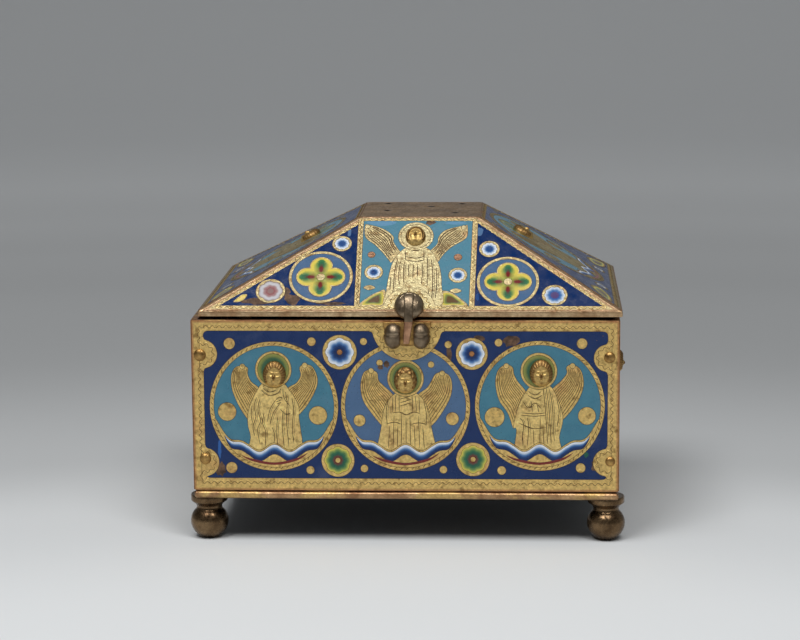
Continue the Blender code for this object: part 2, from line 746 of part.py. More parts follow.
def make_lid_leaf(name, x, axis):
    """Bent strap on the lid's back slope with the middle knuckle."""
    start, across, up, out = slope_frame("back")
    half = KNUCKLE_CENTRE_WIDTH / 2
    near = BACK_Y + TOUCH_GAP
    origin = Vector((x, start.y, start.z)) - axis.location
    shape = bmesh.new()
    add_outline(
        shape,
        leaf_outline(LEAF_WIDTH, LEAF_LENGTH, LEAF_SETBACK),
        TOUCH_GAP,
        TOUCH_GAP + LEAF_THICKNESS,
        lambda u, v, depth: origin + across * u + up * v + out * depth,
    )
    leaf = make_object(name, shape, materials["bronze_gilt"], axis.location, axis)
    bend = start + up * (LEAF_SETBACK + 2 * LEAF_THICKNESS)
    side_view = [
        (near, HINGE_Z),
        (near + LEAF_THICKNESS, HINGE_Z),
        (near + LEAF_THICKNESS, RIM_TOP),
        tuple((bend + out * (TOUCH_GAP + LEAF_THICKNESS)).yz),
        tuple((bend + out * TOUCH_GAP).yz),
        (near, RIM_TOP),
    ]
    neck = bmesh.new()
    add_outline(
        neck,
        side_view,
        x - half,
        x + half,
        lambda u, v, depth: Vector((depth, u, v)) - axis.location,
    )
    add_boolean(leaf, make_cutter(name + "_neck", neck, axis.location, axis), "UNION")
    knuckle = knuckle_rods(x, ((-half, half),), KNUCKLE_RADIUS)
    add_boolean(leaf, make_cutter(name + "_knuckle", knuckle), "UNION")
    bore = knuckle_rods(x, ((-2 * half, 2 * half),), PIN_RADIUS + PIN_FIT)
    add_boolean(leaf, make_cutter(name + "_bore", bore), "DIFFERENCE")
    smooth(leaf)


def make_hinges(axis):
    """Two three-knuckle hinges with their pins."""
    for name, hand in (("left", -1), ("right", 1)):
        x = hand * (BOX_WIDTH / 2 - HINGE_INSET)
        make_box_leaf("hinge_box_" + name, x)
        make_lid_leaf("hinge_lid_" + name, x, axis)
        reach = KNUCKLE_CENTRE_WIDTH / 2 + KNUCKLE_GAP + KNUCKLE_SIDE_WIDTH + PIN_END
        shape = bmesh.new()
        add_rod(shape, (0, 0, 0), (1, 0, 0), PIN_RADIUS, 2 * reach)
        pin = make_object("hinge_pin_" + name, shape, materials["copper"], (x, HINGE_Y, HINGE_Z))
        smooth(pin)


clear_scene()
materials = {
    "gilt": make_material("gilt", (0.72, 0.52, 0.22), 0.38, 0.9),
    "enamel": make_material("enamelled gilt copper", (0.09, 0.16, 0.42), 0.30, 0.1),
    "bronze": make_material("brown bronze", (0.13, 0.10, 0.08), 0.35, 0.8),
    "bronze_gilt": make_material("worn gilt bronze", (0.40, 0.29, 0.14), 0.40, 0.9),
    "copper": make_material("bare copper", (0.48, 0.31, 0.21), 0.42, 0.9),
}
hinge_axis = bpy.data.objects.new("lid_hinge_axis", None)
bpy.context.scene.collection.objects.link(hinge_axis)
hinge_axis.location = HINGE_AXIS

make_broad_plate("front_plate", RIVETS_FRONT, -1)
make_broad_plate("back_plate", RIVETS_BACK, 1)
make_side_plate("left_plate", -1)
make_side_plate("right_plate", 1)
make_bottom_plate()
make_rivets("front", RIVETS_FRONT, -1)
make_rivets("back", RIVETS_BACK, 1)
make_feet()
make_staple()
make_lid(hinge_axis)
make_hasp(hinge_axis)
make_heads(hinge_axis)
make_hinges(hinge_axis)
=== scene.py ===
import math
import random

import bmesh
import bpy
from mathutils import Matrix, Vector, geometry


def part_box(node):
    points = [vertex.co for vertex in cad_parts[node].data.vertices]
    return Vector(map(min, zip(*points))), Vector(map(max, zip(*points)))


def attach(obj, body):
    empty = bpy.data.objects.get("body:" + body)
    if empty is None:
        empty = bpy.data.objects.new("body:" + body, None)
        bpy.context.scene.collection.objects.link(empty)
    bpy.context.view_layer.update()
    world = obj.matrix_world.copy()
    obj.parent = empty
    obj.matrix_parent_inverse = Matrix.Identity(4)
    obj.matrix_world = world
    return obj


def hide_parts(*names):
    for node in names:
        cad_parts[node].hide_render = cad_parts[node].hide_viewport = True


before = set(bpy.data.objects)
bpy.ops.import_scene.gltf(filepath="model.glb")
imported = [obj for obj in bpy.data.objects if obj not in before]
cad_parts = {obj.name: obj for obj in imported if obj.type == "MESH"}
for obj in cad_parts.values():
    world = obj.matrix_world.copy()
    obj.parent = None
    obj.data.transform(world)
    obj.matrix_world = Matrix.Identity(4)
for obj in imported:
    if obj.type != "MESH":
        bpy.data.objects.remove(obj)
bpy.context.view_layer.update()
mm = 0.001
print("frame loaded:", len(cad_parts), "nodes")


def tone(red, green, blue):  # a colour seen in daylight, 0 to 255, as the shader wants it
    return tuple((c / 255) ** 2.2 for c in (red, green, blue))


def between(first, second, share):
    return tuple(a + (b - a) * share for a, b in zip(first, second))


def addToScene(name, data):
    made = bpy.data.objects.new(name, data)
    bpy.context.scene.collection.objects.link(made)
    return made


def circle(sides):  # cosine and sine of each direction
    return [(math.cos(math.tau * k / sides), math.sin(math.tau * k / sides)) for k in range(sides)]


# camera and stage

cameraSetup = {
    "place": (48.4, -992.7, 253.9),
    "yaw": -3.06,
    "pitch": 10.03,
    "roll": -0.42,
    "lens": 112.3,
}


def makeCamera():
    yaw = math.radians(cameraSetup["yaw"])
    pitch = math.radians(cameraSetup["pitch"])
    roll = math.radians(cameraSetup["roll"])
    ahead = Vector((math.sin(yaw) * math.cos(pitch), math.cos(yaw) * math.cos(pitch), -math.sin(pitch)))
    level = Vector((math.cos(yaw), -math.sin(yaw), 0.0))
    above = level.cross(ahead)
    side = level * math.cos(roll) + above * math.sin(roll)
    above = above * math.cos(roll) - level * math.sin(roll)
    data = bpy.data.cameras.new("camera")
    data.lens = cameraSetup["lens"]
    camera = addToScene("camera", data)
    camera.matrix_world = Matrix.Translation(Vector(cameraSetup["place"]) * mm) @ Matrix(
        (side, above, -ahead)
    ).transposed().to_4x4()
    bpy.context.scene.camera = camera


def addNode(tree, kind, inputs=None, feeds=None, **settings):  # inputs are values, feeds are sockets to link
    node = tree.nodes.new(kind)
    for key, value in settings.items():
        setattr(node, key, value)
    for key, value in (inputs or {}).items():
        node.inputs[key].default_value = value
    for key, source in (feeds or {}).items():
        tree.links.new(source, node.inputs[key])
    return node.outputs


def newMaterial(name):
    material = bpy.data.materials.new(name)
    material.use_nodes = True
    tree = material.node_tree
    return material, tree, tree.nodes["Principled BSDF"].inputs, addNode(tree, "ShaderNodeTexCoord")["Object"]


def addShare(tree, value, start, end):  # 0 at the start, 1 at the end
    return addNode(tree, "ShaderNodeMapRange", {"From Min": start, "From Max": end},
                   {"Value": value})["Result"]


def addSpread(tree, value, low, high):  # a 0 to 1 pattern as a number between two ends
    return addNode(tree, "ShaderNodeMapRange", {"To Min": low, "To Max": high}, {"Value": value})["Result"]


def addNoise(tree, place, scale, detail=4.0, low=0.35, high=0.65):
    noise = addNode(tree, "ShaderNodeTexNoise", {"Scale": scale, "Detail": detail}, {"Vector": place})
    return addShare(tree, noise["Fac"], low, high)


def addMix(tree, share, first, second, kind="MIX"):
    values = {0: share, 6: first, 7: second}
    feeds = {key: value for key, value in values.items() if isinstance(value, bpy.types.NodeSocket)}
    inputs = {key: (*value, 1.0) if isinstance(value, tuple) else value
              for key, value in values.items() if key not in feeds}
    return addNode(tree, "ShaderNodeMix", inputs, feeds, data_type="RGBA", blend_type=kind)[2]


stageSetup = {
    "flatRadius": 1.5, "flatRings": 6, "sweepRadius": 1.6, "sweepRings": 12, "wallHeight": 3.2, "sides": 96,
    # painted light: the floor is brightest round a spot in front of the box, darkens away from it and grows
    # lighter again up the backdrop sweep
    "paintedLightCentre": (0.0, -0.45, 0.0), "paintedLightReach": 1.6,
    "paintedLightFades": ((0.0, 0.76), (0.20, 0.75), (0.28, 0.68), (0.35, 0.52), (0.50, 0.42), (0.64, 0.46), (0.74, 0.50),
              (0.85, 0.56), (1.0, 0.63)),
    "tint": (0.975, 1.0, 1.01), "unevenness": 9.0, "roughness": (0.80, 0.90), "specular": 0.1,
}


def makeStage():
    setup = stageSetup
    flat, sweep, sides = setup["flatRadius"], setup["sweepRadius"], setup["sides"]
    profile = [(flat * i / setup["flatRings"], 0.0) for i in range(1, setup["flatRings"] + 1)]
    for i in range(1, setup["sweepRings"] + 1):
        turn = math.pi / 2 * i / setup["sweepRings"]
        profile.append((flat + sweep * math.sin(turn), sweep * (1 - math.cos(turn))))
    profile.append((profile[-1][0], setup["wallHeight"]))
    shape = bmesh.new()
    rings = [[shape.verts.new((r * c, r * s, z)) for c, s in circle(sides)] for r, z in profile]
    shape.faces.new(rings[0])
    for inner, outer in zip(rings, rings[1:]):
        for k in range(sides):
            shape.faces.new((inner[k], outer[k], outer[(k + 1) % sides], inner[(k + 1) % sides]))
    mesh = bpy.data.meshes.new("floor")
    shape.to_mesh(mesh)
    shape.free()
    mesh.shade_smooth()
    floor = addToScene("floor", mesh)

    material, tree, shader, place = newMaterial("pale floor with painted light pool")
    # painted light pool: the floor's colour follows the distance from the painted light's centre
    away = addNode(tree, "ShaderNodeVectorMath", {1: setup["paintedLightCentre"]}, {0: place}, operation="DISTANCE")
    ramp = tree.nodes.new("ShaderNodeValToRGB")
    ramp.color_ramp.interpolation = "EASE"
    while len(ramp.color_ramp.elements) < len(setup["paintedLightFades"]):
        ramp.color_ramp.elements.new(0.5)
    for element, (spot, grey) in zip(ramp.color_ramp.elements, setup["paintedLightFades"]):
        element.position = spot
        element.color = (*(grey * c for c in setup["tint"]), 1.0)
    tree.links.new(addShare(tree, away["Value"], 0.0, setup["paintedLightReach"]), ramp.inputs["Fac"])
    tree.links.new(ramp.outputs["Color"], shader["Base Color"])
    uneven = addNoise(tree, place, setup["unevenness"])
    tree.links.new(addSpread(tree, uneven, *setup["roughness"]), shader["Roughness"])
    shader["Specular IOR Level"].default_value = setup["specular"]
    mesh.materials.append(material)


lightSetup = {
    "overhead": {"place": (-0.1, -0.52, 1.4), "size": (1.2, 0.34), "power": 8.8, "aim": (0.0, -0.05, 0.05)},
    "frontLeft": {"place": (-0.45, -0.85, 1.30), "size": (0.5, 0.4), "power": 7.6, "aim": (0.0, 0.0, 0.06)},
    "frontRight": {"place": (0.45, -0.85, 1.25), "size": (0.5, 0.4), "power": 5.4, "aim": (0.0, 0.0, 0.06)},
    "backdrop": {"place": (0.0, 0.7, 1.5), "size": (1.5, 0.4), "power": 6.0, "aim": (0.0, 2.8, 1.3)},
}
skySetup = {"grey": 0.15, "tint": (1.0, 1.0, 1.04)}


def makeLights():
    for name, setup in lightSetup.items():
        data = bpy.data.lights.new(name, "AREA")
        data.shape = "RECTANGLE"
        data.size, data.size_y = setup["size"]
        data.energy = setup["power"]
        light = addToScene(name, data)
        light.location = setup["place"]
        aim = Vector(setup["aim"]) - Vector(setup["place"])
        light.rotation_mode = "QUATERNION"
        light.rotation_quaternion = aim.to_track_quat("-Z", "Y")
    world = bpy.data.worlds.new("soft room")
    world.use_nodes = True
    grey = [skySetup["grey"] * c for c in skySetup["tint"]]
    world.node_tree.nodes["Background"].inputs["Color"].default_value = (*grey, 1.0)
    bpy.context.scene.world = world
    bpy.context.scene.view_settings.view_transform = "Standard"


makeCamera()
makeStage()
makeLights()
print("camera, stage and lights ready")


# finishes

colours = {
    "night": tone(0, 42, 88),
    "sea": tone(64, 116, 136),
    "sky": tone(72, 100, 134),
    "panel": tone(80, 128, 146),
    "white": tone(216, 222, 230),
    "paleBlue": tone(112, 150, 190),
    "midBlue": tone(42, 88, 152),
    "yellow": tone(214, 192, 84),
    "limeGreen": tone(146, 160, 78),
    "leafGreen": tone(64, 118, 72),
    "darkGreen": tone(32, 84, 68),
    "olive": tone(132, 134, 68),
    "moss": tone(72, 100, 60),
    "oxblood": tone(112, 40, 38),
    "pink": tone(160, 110, 112),
    "gold": tone(234, 200, 126),
    "paleGold": tone(248, 217, 141),
    "copper": tone(190, 134, 92),
    "groove": tone(84, 58, 34),
    "bareMetal": tone(88, 66, 52),
    "dust": tone(156, 142, 138),
}

# noises are scale, detail and the span that becomes 0 to 1; tints are pattern, most, colour and kind of mix
finishSetup = {
    "enamel": {
        "name": "glassy enamel", "pits": (640.0, 0.14, 0.07), "specular": 0.36, "metallic": 0.0,
        "noises": {"cloud": (260.0, 5.0), "grain": (1500.0, 3.0, 0.3, 0.7), "haze": (95.0, 6.0, 0.60, 0.78)},
        "tints": (("cloud", 0.32, (0.60, 0.66, 0.74), "MULTIPLY"),
                  ("grain", 0.30, (1.35, 1.30, 1.25), "MULTIPLY"),
                  ("pits", 0.5, tone(46, 40, 38)), ("haze", 0.10, tone(140, 150, 170))),
        "roughness": ("cloud", 0.14, 0.30), "bump": ("cloud", "grain", 0.5, 0.22, 0.00010),
    },
    "gilt": {
        "name": "engraved gilt copper", "metallic": 0.85,
        "noises": {"rubbed": (110.0, 6.0, 0.56, 0.74), "stain": (430.0, 5.0, 0.56, 0.70),
                   "grain": (900.0, 4.0),
                   "fine": (2600.0, 2.0), "bright": (520.0, 4.0, 0.50, 0.68)},
        "tints": (("rubbed", 0.50, colours["copper"]), ("bright", 0.8, (1.32, 1.30, 1.26), "MULTIPLY"),
                  ("stain", 0.66, tone(120, 86, 46)), ("grain", 0.30, tone(104, 76, 42))),
        "roughness": ("grain", 0.34, 0.56), "bump": ("grain", "fine", 0.4, 0.55, 0.00020),
    },
    "lidCopper": {  # pinkish gilding low on the rim, bare brown copper on the flat top, darker round its holes
        "name": "lid copper", "metallic": 0.88,
        "noises": {"patches": (150.0, 6.0), "grain": (1000.0, 4.0)},
        "zone": (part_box("lid")[1].z - 1.0 * mm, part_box("lid")[1].z - 0.5 * mm),
        "base": (tone(222, 194, 152), tone(170, 134, 98)), "top": (tone(204, 168, 124), tone(160, 128, 92)),
        "holes": ((-9.95, 17.0), (-9.15, -4.5), (20.15, 16.5), (18.15, -11.4), (7.95, 7.9)),
        "holeDarkReach": (2.0 * mm, 1.1 * mm), "holeDark": tone(34, 28, 24),
        "tints": (("grain", 0.30, tone(92, 66, 44)),),
        "roughness": ("grain", 0.28, 0.48), "bump": ("patches", "grain", 0.5, 0.35, 0.0002),
    },
    "giltSheet": {  # rubbed gilding at the edge; painted shade below: the underside is near black, so it throws no light onto the shaded floor under the box
        "name": "rubbed gilt sheet", "metallic": 0.9,
        "noises": {"patches": (140.0, 6.0), "grain": (1100.0, 3.0), "kept": (100.0, 8.0, 0.50, 0.60)},
        "zone": (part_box("bottom_plate")[0].z + 0.4 * mm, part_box("bottom_plate")[0].z + 0.1 * mm),
        "base": (tone(206, 168, 124), tone(146, 108, 78)),
        "tints": (("kept", 0.6, colours["gold"]), ("grain", 0.3, tone(110, 80, 54)),
                  # painted shade: the lowest 0.4 mm, the underside, turns near black
                  ("zone", 1.0, tone(44, 38, 36))),
        "roughness": ("grain", 0.30, 0.48), "bump": ("patches", "grain", 0.5, 0.35, 0.0002),
    },
    "head": {  # gilt in the hollows, brown where hands have rubbed it
        "name": "cast head, worn gilt", "metallic": 0.95, "noises": {"grain": (1300.0, 3.0)},
        "relief": (0.25, 0.75), "base": (colours["gold"], tone(134, 100, 62)),
        "tints": (("grain", 0.4, tone(78, 56, 36)),),
        "roughness": ("grain", 0.42, 0.58), "bump": ("grain", "grain", 0.5, 0.3, 0.00012),
    },
}
metals = {  # name, light, dark, least roughness, metallic, scale of the patches, bump, traces of gilding
    "cut": ("engraved line", tone(96, 68, 38), tone(56, 40, 26), 0.55, 0.4),
    "bare": ("bared cell", tone(120, 92, 72), tone(62, 48, 40), 0.6, 0.35, 400.0, 0.8),
    "copper": ("worn copper", tone(186, 138, 100), tone(128, 90, 64), 0.32, 0.9, 140.0, 0.3, 0.55),
    "brownGilt": ("brown gilding", tone(190, 152, 92), tone(124, 94, 56), 0.30, 0.9, 420.0),
    "bronze": ("dark bronze", tone(158, 140, 116), tone(98, 84, 68), 0.28, 0.9, 200.0, 0.2),
    "paleBronze": ("rubbed bronze", tone(204, 184, 154), tone(150, 130, 102), 0.34, 0.9, 200.0, 0.2),
    "tongue": ("coppery tongue", tone(208, 162, 128), tone(136, 100, 78), 0.28, 0.95, 200.0, 0.2),
    "bronzeFoot": ("brown bronze", tone(132, 108, 80), tone(80, 62, 44), 0.18, 0.9, 160.0, 0.15),
    "toolLine": ("tooled line", tone(112, 78, 38), tone(72, 50, 28), 0.45, 0.6, 500.0),
    # painted highlight: a pale gold copy of the tooled line, laid beside the dark one as its lit side
    "paintedHighlightLine": ("painted highlight beside a tooled line", tone(250, 222, 150), tone(214, 178, 108), 0.30, 0.9,
                   500.0),
}


def metalSetup(name, light, dark, roughness, metallic, scale=140.0, bump=0.3, traces=0.0):
    setup = {"name": name, "metallic": metallic, "base": (light, dark), "tints": [("grain", 0.25, dark)],
             "noises": {"patches": (scale, 6.0), "grain": (1100.0, 3.0)},
             "roughness": ("grain", roughness, roughness + 0.18),
             "bump": ("patches", "grain", 0.5, bump, 0.0002)}
    if traces:
        setup["noises"]["kept"] = (scale * 0.7, 8.0, 0.50, 0.60)
        setup["tints"].insert(0, ("kept", traces, colours["gold"]))
    return setup


def addBase(tree, place, patterns, setup):  # the colour under the tints, and the patterns that aren't noise
    if "pits" in setup:
        scale, edge, middle = setup["pits"]
        cells = addNode(tree, "ShaderNodeTexVoronoi", {"Scale": scale}, {"Vector": place})
        patterns["pits"] = addShare(tree, cells["Distance"], edge, middle)
    if "zone" in setup:
        height = addNode(tree, "ShaderNodeSeparateXYZ", None, {"Vector": place})["Z"]
        patterns["zone"] = addShare(tree, height, *setup["zone"])
    if "relief" in setup:
        relief = addNode(tree, "ShaderNodeAttribute", attribute_name="relief")["Fac"]
        patterns["patches"] = addShare(tree, relief, *setup["relief"])
    if "base" not in setup:
        return addNode(tree, "ShaderNodeAttribute", attribute_name="glaze")["Color"]
    base = addMix(tree, patterns["patches"], *setup["base"])
    if "top" in setup:
        top = addMix(tree, patterns["patches"], *setup["top"])
        flat = addNode(tree, "ShaderNodeVectorMath", {1: (1.0, 1.0, 0.0)}, {0: place}, operation="MULTIPLY")
        for x, y in setup["holes"]:
            hole = (x * mm, y * mm, 0.0)
            away = addNode(tree, "ShaderNodeVectorMath", {1: hole}, {0: flat[0]}, operation="DISTANCE")
            top = addMix(tree, addShare(tree, away["Value"], *setup["holeDarkReach"]), top, setup["holeDark"])
        base = addMix(tree, patterns["zone"], base, top)
    return base


def makeFinish(setup):
    material, tree, shader, place = newMaterial(setup["name"])
    patterns = {key: addNoise(tree, place, *values) for key, values in setup["noises"].items()}
    colour = addBase(tree, place, patterns, setup)
    for key, most, tint, *kind in setup["tints"]:
        colour = addMix(tree, addSpread(tree, patterns[key], 0.0, most), colour, tint, *kind)
    tree.links.new(colour, shader["Base Color"])
    key, *ends = setup["roughness"]
    tree.links.new(addSpread(tree, patterns[key], *ends), shader["Roughness"])
    shader["Metallic"].default_value = setup["metallic"]
    if "specular" in setup:
        shader["Specular IOR Level"].default_value = setup["specular"]
    first, second, share, strength, depth = setup["bump"]
    height = addMix(tree, share, patterns[first], patterns[second])
    bump = addNode(tree, "ShaderNodeBump", {"Strength": strength, "Distance": depth}, {"Height": height})
    tree.links.new(bump["Normal"], shader["Normal"])
    return material


finishSetup.update({key: metalSetup(*row) for key, row in metals.items()})
materials = {key: makeFinish(setup) for key, setup in finishSetup.items()}
finishes = {"gilt": 0.16, "enamel": 0.10, "cut": 0.09, "bare": 0.07}  # height over the plate, mm
finishOrder = list(finishes)
print("finishes ready")


# planes that carry the enamel

lidShape = {"rim": 2.2, "topWidth": 46.5, "topDepth": 45.0, "topCentre": 4.65}
drawnLengths = {"wall": 65.6, "front": 46.0}  # lengths up the plates that the drawings below are made for
boxLow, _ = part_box("front_plate")
_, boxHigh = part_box("back_plate")
wallHeight = drawnLengths["wall"]
wallStretch = (boxHigh.z - boxLow.z) / mm / wallHeight


def plane(origin, across, up, stretch, length):  # up is longer than 1 where a drawing is stretched
    return {"origin": Vector(origin), "across": Vector(across), "up": Vector(up).normalized() * stretch,
            "out": Vector(across).cross(Vector(up)).normalized(), "length": length}


def wallPlane(origin, across):
    return plane(origin, across, (0, 0, 1), wallStretch, wallHeight)


def slopePlane(side):
    low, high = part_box("lid")
    halfWidth = lidShape["topWidth"] / 2 * mm
    halfDepth = lidShape["topDepth"] / 2 * mm
    centre = lidShape["topCentre"] * mm
    edges = {
        "front": (((low.x + high.x) / 2, low.y), (centre, -halfDepth), (1, 0)),
        "back": (((low.x + high.x) / 2, high.y), (centre, halfDepth), (-1, 0)),
        "left": ((low.x, 0.0), (centre - halfWidth, 0.0), (0, -1)),
        "right": ((high.x, 0.0), (centre + halfWidth, 0.0), (0, 1)),
    }
    start, end, sideways = edges[side]
    base = Vector((*start, low.z + lidShape["rim"] * mm))
    across = Vector((*sideways, 0.0))
    climb = Vector((*end, high.z)) - base
    climb -= across * climb.dot(across)
    length = drawnLengths.get(side, climb.length / mm)
    return plane(base, across, climb, climb.length / mm / length, length)


planes = {
    "front": wallPlane((0, boxLow.y, boxLow.z), (1, 0, 0)),
    "back": wallPlane((0, boxHigh.y, boxLow.z), (-1, 0, 0)),
    "left": wallPlane((boxLow.x, 0, boxLow.z), (0, -1, 0)),
    "right": wallPlane((boxHigh.x, 0, boxLow.z), (0, 1, 0)),
    "lidFront": slopePlane("front"),
    "lidBack": slopePlane("back"),
    "lidLeft": slopePlane("left"),
    "lidRight": slopePlane("right"),
}


def onPlane(where, u, v, out=0.0):
    return where["origin"] + (where["across"] * u + where["up"] * v + where["out"] * out) * mm


def spanOn(node, where):  # lowest and highest (across, up, out) of a CAD node, mm
    spots = []
    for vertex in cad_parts[node].data.vertices:
        away = vertex.co - where["origin"]
        spots.append([away.dot(axis) / axis.length_squared / mm
                      for axis in (where["across"], where["up"], where["out"])])
    return [min(column) for column in zip(*spots)], [max(column) for column in zip(*spots)]


# outlines, all in mm on a plane

def pairs(spots):  # each spot with the one after it, all the way round
    return zip(spots, spots[1:] + spots[:1])


def threes(spots):  # each spot between its neighbours, all the way round
    return zip(spots[-1:] + spots[:-1], spots, spots[1:] + spots[:1])


def signedArea(spots):  # twice the area, below 0 where the outline runs clockwise
    return sum(a[0] * b[1] - b[0] * a[1] for a, b in pairs(spots))


def radial(centre, sides, reach, wide=1.0):  # an outline from its reach in each direction
    spots = []
    for i in range(sides):
        turn = math.tau * i / sides
        spots.append((centre[0] + wide * reach(turn) * math.cos(turn),
                      centre[1] + reach(turn) * math.sin(turn)))
    return spots


def disc(centre, radius, sides=48, wide=1.0):
    return radial(centre, sides, lambda turn: radius, wide)


def scalloped(centre, radius, lobes, depth, sides=72):
    return radial(centre, sides,
                  lambda turn: radius * (1.0 - depth + depth * abs(math.cos(lobes * turn / 2))))


def quatrefoil(centre, offset, radius, sides=80):  # four round lobes that run together
    def reach(turn):
        lean = (turn + math.pi / 4) % (math.pi / 2) - math.pi / 4
        return offset * math.cos(lean) + math.sqrt(max(0.0, radius ** 2 - (offset * math.sin(lean)) ** 2))

    return radial(centre, sides, reach)


def arc(centre, radius, start, end, steps):  # an open arc, both ends included
    turns = [start + (end - start) * i / steps for i in range(steps + 1)]
    return [(centre[0] + radius * math.cos(turn), centre[1] + radius * math.sin(turn)) for turn in turns]


def curveThrough(spots, steps=5, closed=False):
    count = len(spots)
    last = count if closed else count - 1
    line = []
    for i in range(last):
        if closed:
            a, b, c, d = (spots[(i + k) % count] for k in (-1, 0, 1, 2))
        else:
            a, b, c, d = (spots[min(max(i + k, 0), count - 1)] for k in (-1, 0, 1, 2))
        for step in range(steps):
            t = step / steps
            line.append(tuple(
                0.5 * (2 * q + (r - p) * t + (2 * p - 5 * q + 4 * r - s) * t * t
                       + (3 * q - p - 3 * r + s) * t ** 3)
                for p, q, r, s in zip(a, b, c, d)
            ))
    if not closed:
        line.append(tuple(spots[-1]))
    return line


def strokeAlong(line, width):  # a narrow outline about a line, pointed at both ends
    left, right = [], []
    for i, spot in enumerate(line):
        before = line[max(i - 1, 0)]
        after = line[min(i + 1, len(line) - 1)]
        run = math.hypot(after[0] - before[0], after[1] - before[1]) or 1.0
        half = width / 2 * (0.35 if i in (0, len(line) - 1) else 1.0)
        across = (-(after[1] - before[1]) / run * half, (after[0] - before[0]) / run * half)
        left.append((spot[0] + across[0], spot[1] + across[1]))
        right.append((spot[0] - across[0], spot[1] - across[1]))
    return left + right[::-1]


def moved(spots, centre, scale=1.0):
    return [(centre[0] + x * scale, centre[1] + y * scale) for x, y in spots]


def clipped(spots, outline):  # what lies inside a convex outline given anticlockwise
    for (ax, ay), (bx, by) in pairs(outline):
        kept = []
        for (px, py), (qx, qy) in pairs(spots):
            p = (bx - ax) * (py - ay) - (by - ay) * (px - ax)
            q = (bx - ax) * (qy - ay) - (by - ay) * (qx - ax)
            if p >= 0:
                kept.append((px, py))
            if p * q < 0:
                share = p / (p - q)
                kept.append((px + (qx - px) * share, py + (qy - py) * share))
        spots = kept
        if not spots:
            break
    return spots


def insetOutline(outline, gaps):  # a convex outline moved inwards by one gap for each side
    moves = []
    for (ax, ay), (bx, by), gap in zip(outline, outline[1:] + outline[:1], gaps):
        run = math.hypot(bx - ax, by - ay)
        nx, ny = -(by - ay) / run * gap, (bx - ax) / run * gap
        moves.append(((ax + nx, ay + ny), (bx + nx, by + ny)))
    corners = []
    for first, second in zip(moves[-1:] + moves[:-1], moves):
        crossing = geometry.intersect_line_line(*(Vector((*p, 0.0)) for p in (*first, *second)))
        corners.append(tuple(crossing[0].xy))
    return corners


def rounded(outline, radius, steps=5):  # a convex outline with its corners taken off
    spots = []
    for before, corner, after in threes(outline):
        corner = Vector(corner)
        first = corner + (Vector(before) - corner).normalized() * radius
        last = corner + (Vector(after) - corner).normalized() * radius
        for k in range(steps + 1):
            t = k / steps
            spots.append(tuple(first * (1 - t) ** 2 + corner * 2 * t * (1 - t) + last * t * t))
    return spots


def grown(spots, distance):  # an outline moved outwards all round
    reach = math.copysign(distance, signedArea(spots))
    result = []
    for before, spot, after in threes(spots):
        dx, dy = after[0] - before[0], after[1] - before[1]
        run = math.hypot(dx, dy) or 1.0
        result.append((spot[0] + dy / run * reach, spot[1] - dx / run * reach))
    return result


filletSetup = {"tuck": 1.5, "steps": 6, "discSteps": 24}  # the tuck lies under the border


def filletedDisc(edge, centre, radius, fillet, inward):  # a disc that runs into the border behind it
    side = (-inward[1], inward[0])
    depth = centre[0] * inward[0] + centre[1] * inward[1] - edge
    along = centre[0] * side[0] + centre[1] * side[1]
    half = math.sqrt((radius + fillet) ** 2 - (fillet - depth) ** 2)
    touch = math.atan2(half, depth - fillet)
    start = math.atan2(-half, fillet - depth)
    spots = [(-filletSetup["tuck"], -half), *arc((fillet, -half), fillet, math.pi, touch, filletSetup["steps"])]
    count = len(spots)
    spots += arc((depth, 0.0), radius, start, -start, filletSetup["discSteps"])[1:-1]
    spots += [(x, -y) for x, y in reversed(spots[:count])]
    return [((edge + x) * inward[0] + (along + y) * side[0], (edge + x) * inward[1] + (along + y) * side[1])
            for x, y in spots]


def dense(line, step=0.5):
    spots = []
    for a, b in zip(line, line[1:]):
        count = max(1, round(math.hypot(b[0] - a[0], b[1] - a[1]) / step))
        spots += [between(a, b, i / count) for i in range(count)]
    return spots + [tuple(line[-1])]


raggedReach = (0.55, 1.0)


def ragged(centre, wide, high, seed, sides=14):  # a broken edge
    rng = random.Random(seed)
    return [(centre[0] + wide * rng.uniform(*raggedReach) * c,
             centre[1] + high * rng.uniform(*raggedReach) * s)
            for c, s in circle(sides)]


sidesOf = {"medallion": 96, "roundel": 72, "disc": 28, "dot": 24, "heart": 20, "smallHeart": 16}


# a skin of gilding and enamel: outlines laid over each other, the last one on top

def newSkin(outline, shade=(1.0, 1.0, 1.0)):
    return {"outline": outline, "shapes": [], "wriggles": [], "ticks": [], "shade": shade}


def lay(skin, spots, finish, colour, cell=None):
    spots = clipped(list(spots), skin["outline"])
    if len(spots) < 3:
        return
    if signedArea(spots) < 0:
        spots = spots[::-1]
    # gilt colours are multiplied by the skin's shade: painted shade that darkens the lid's gilding
    if finish == "gilt":
        colour = tuple(a * b for a, b in zip(colour, skin["shade"]))
    skin["shapes"].append({"spots": spots, "finish": finish, "colour": colour, "cell": cell})


def layGroove(skin, spots, rim=0.0):
    lay(skin, grown(list(spots), rim) if rim else spots, "cut", colours["groove"])


def layGold(skin, spots, colour="gold", rim=0.17):  # gilding with a fine brown line round it
    layGroove(skin, spots, rim)
    lay(skin, spots, "gilt", colours[colour])


def layField(skin, spots, colour, rim=0.15):
    layGroove(skin, spots, rim)
    lay(skin, spots, "enamel", colours[colour])


def layLine(skin, line, width=0.24):
    layGroove(skin, strokeAlong(line, width))


def layCutRing(skin, centre, radius, width=0.3, inner="gold"):
    layGroove(skin, disc(centre, radius + width / 2))
    lay(skin, disc(centre, radius - width / 2), "gilt", colours[inner])


def layGraded(skin, outlines, tones, cell):  # colours that run into each other inside one cell
    for i, outline in enumerate(outlines):
        share = i / max(len(outlines) - 1, 1) * (len(tones) - 1)
        first = min(int(share), len(tones) - 2) if len(tones) > 1 else 0
        colour = between(tones[first], tones[min(first + 1, len(tones) - 1)], share - first)
        lay(skin, outline, "enamel", colour, cell)


weldDistance = 1e-5  # spots of two outlines nearer than this become one, mm


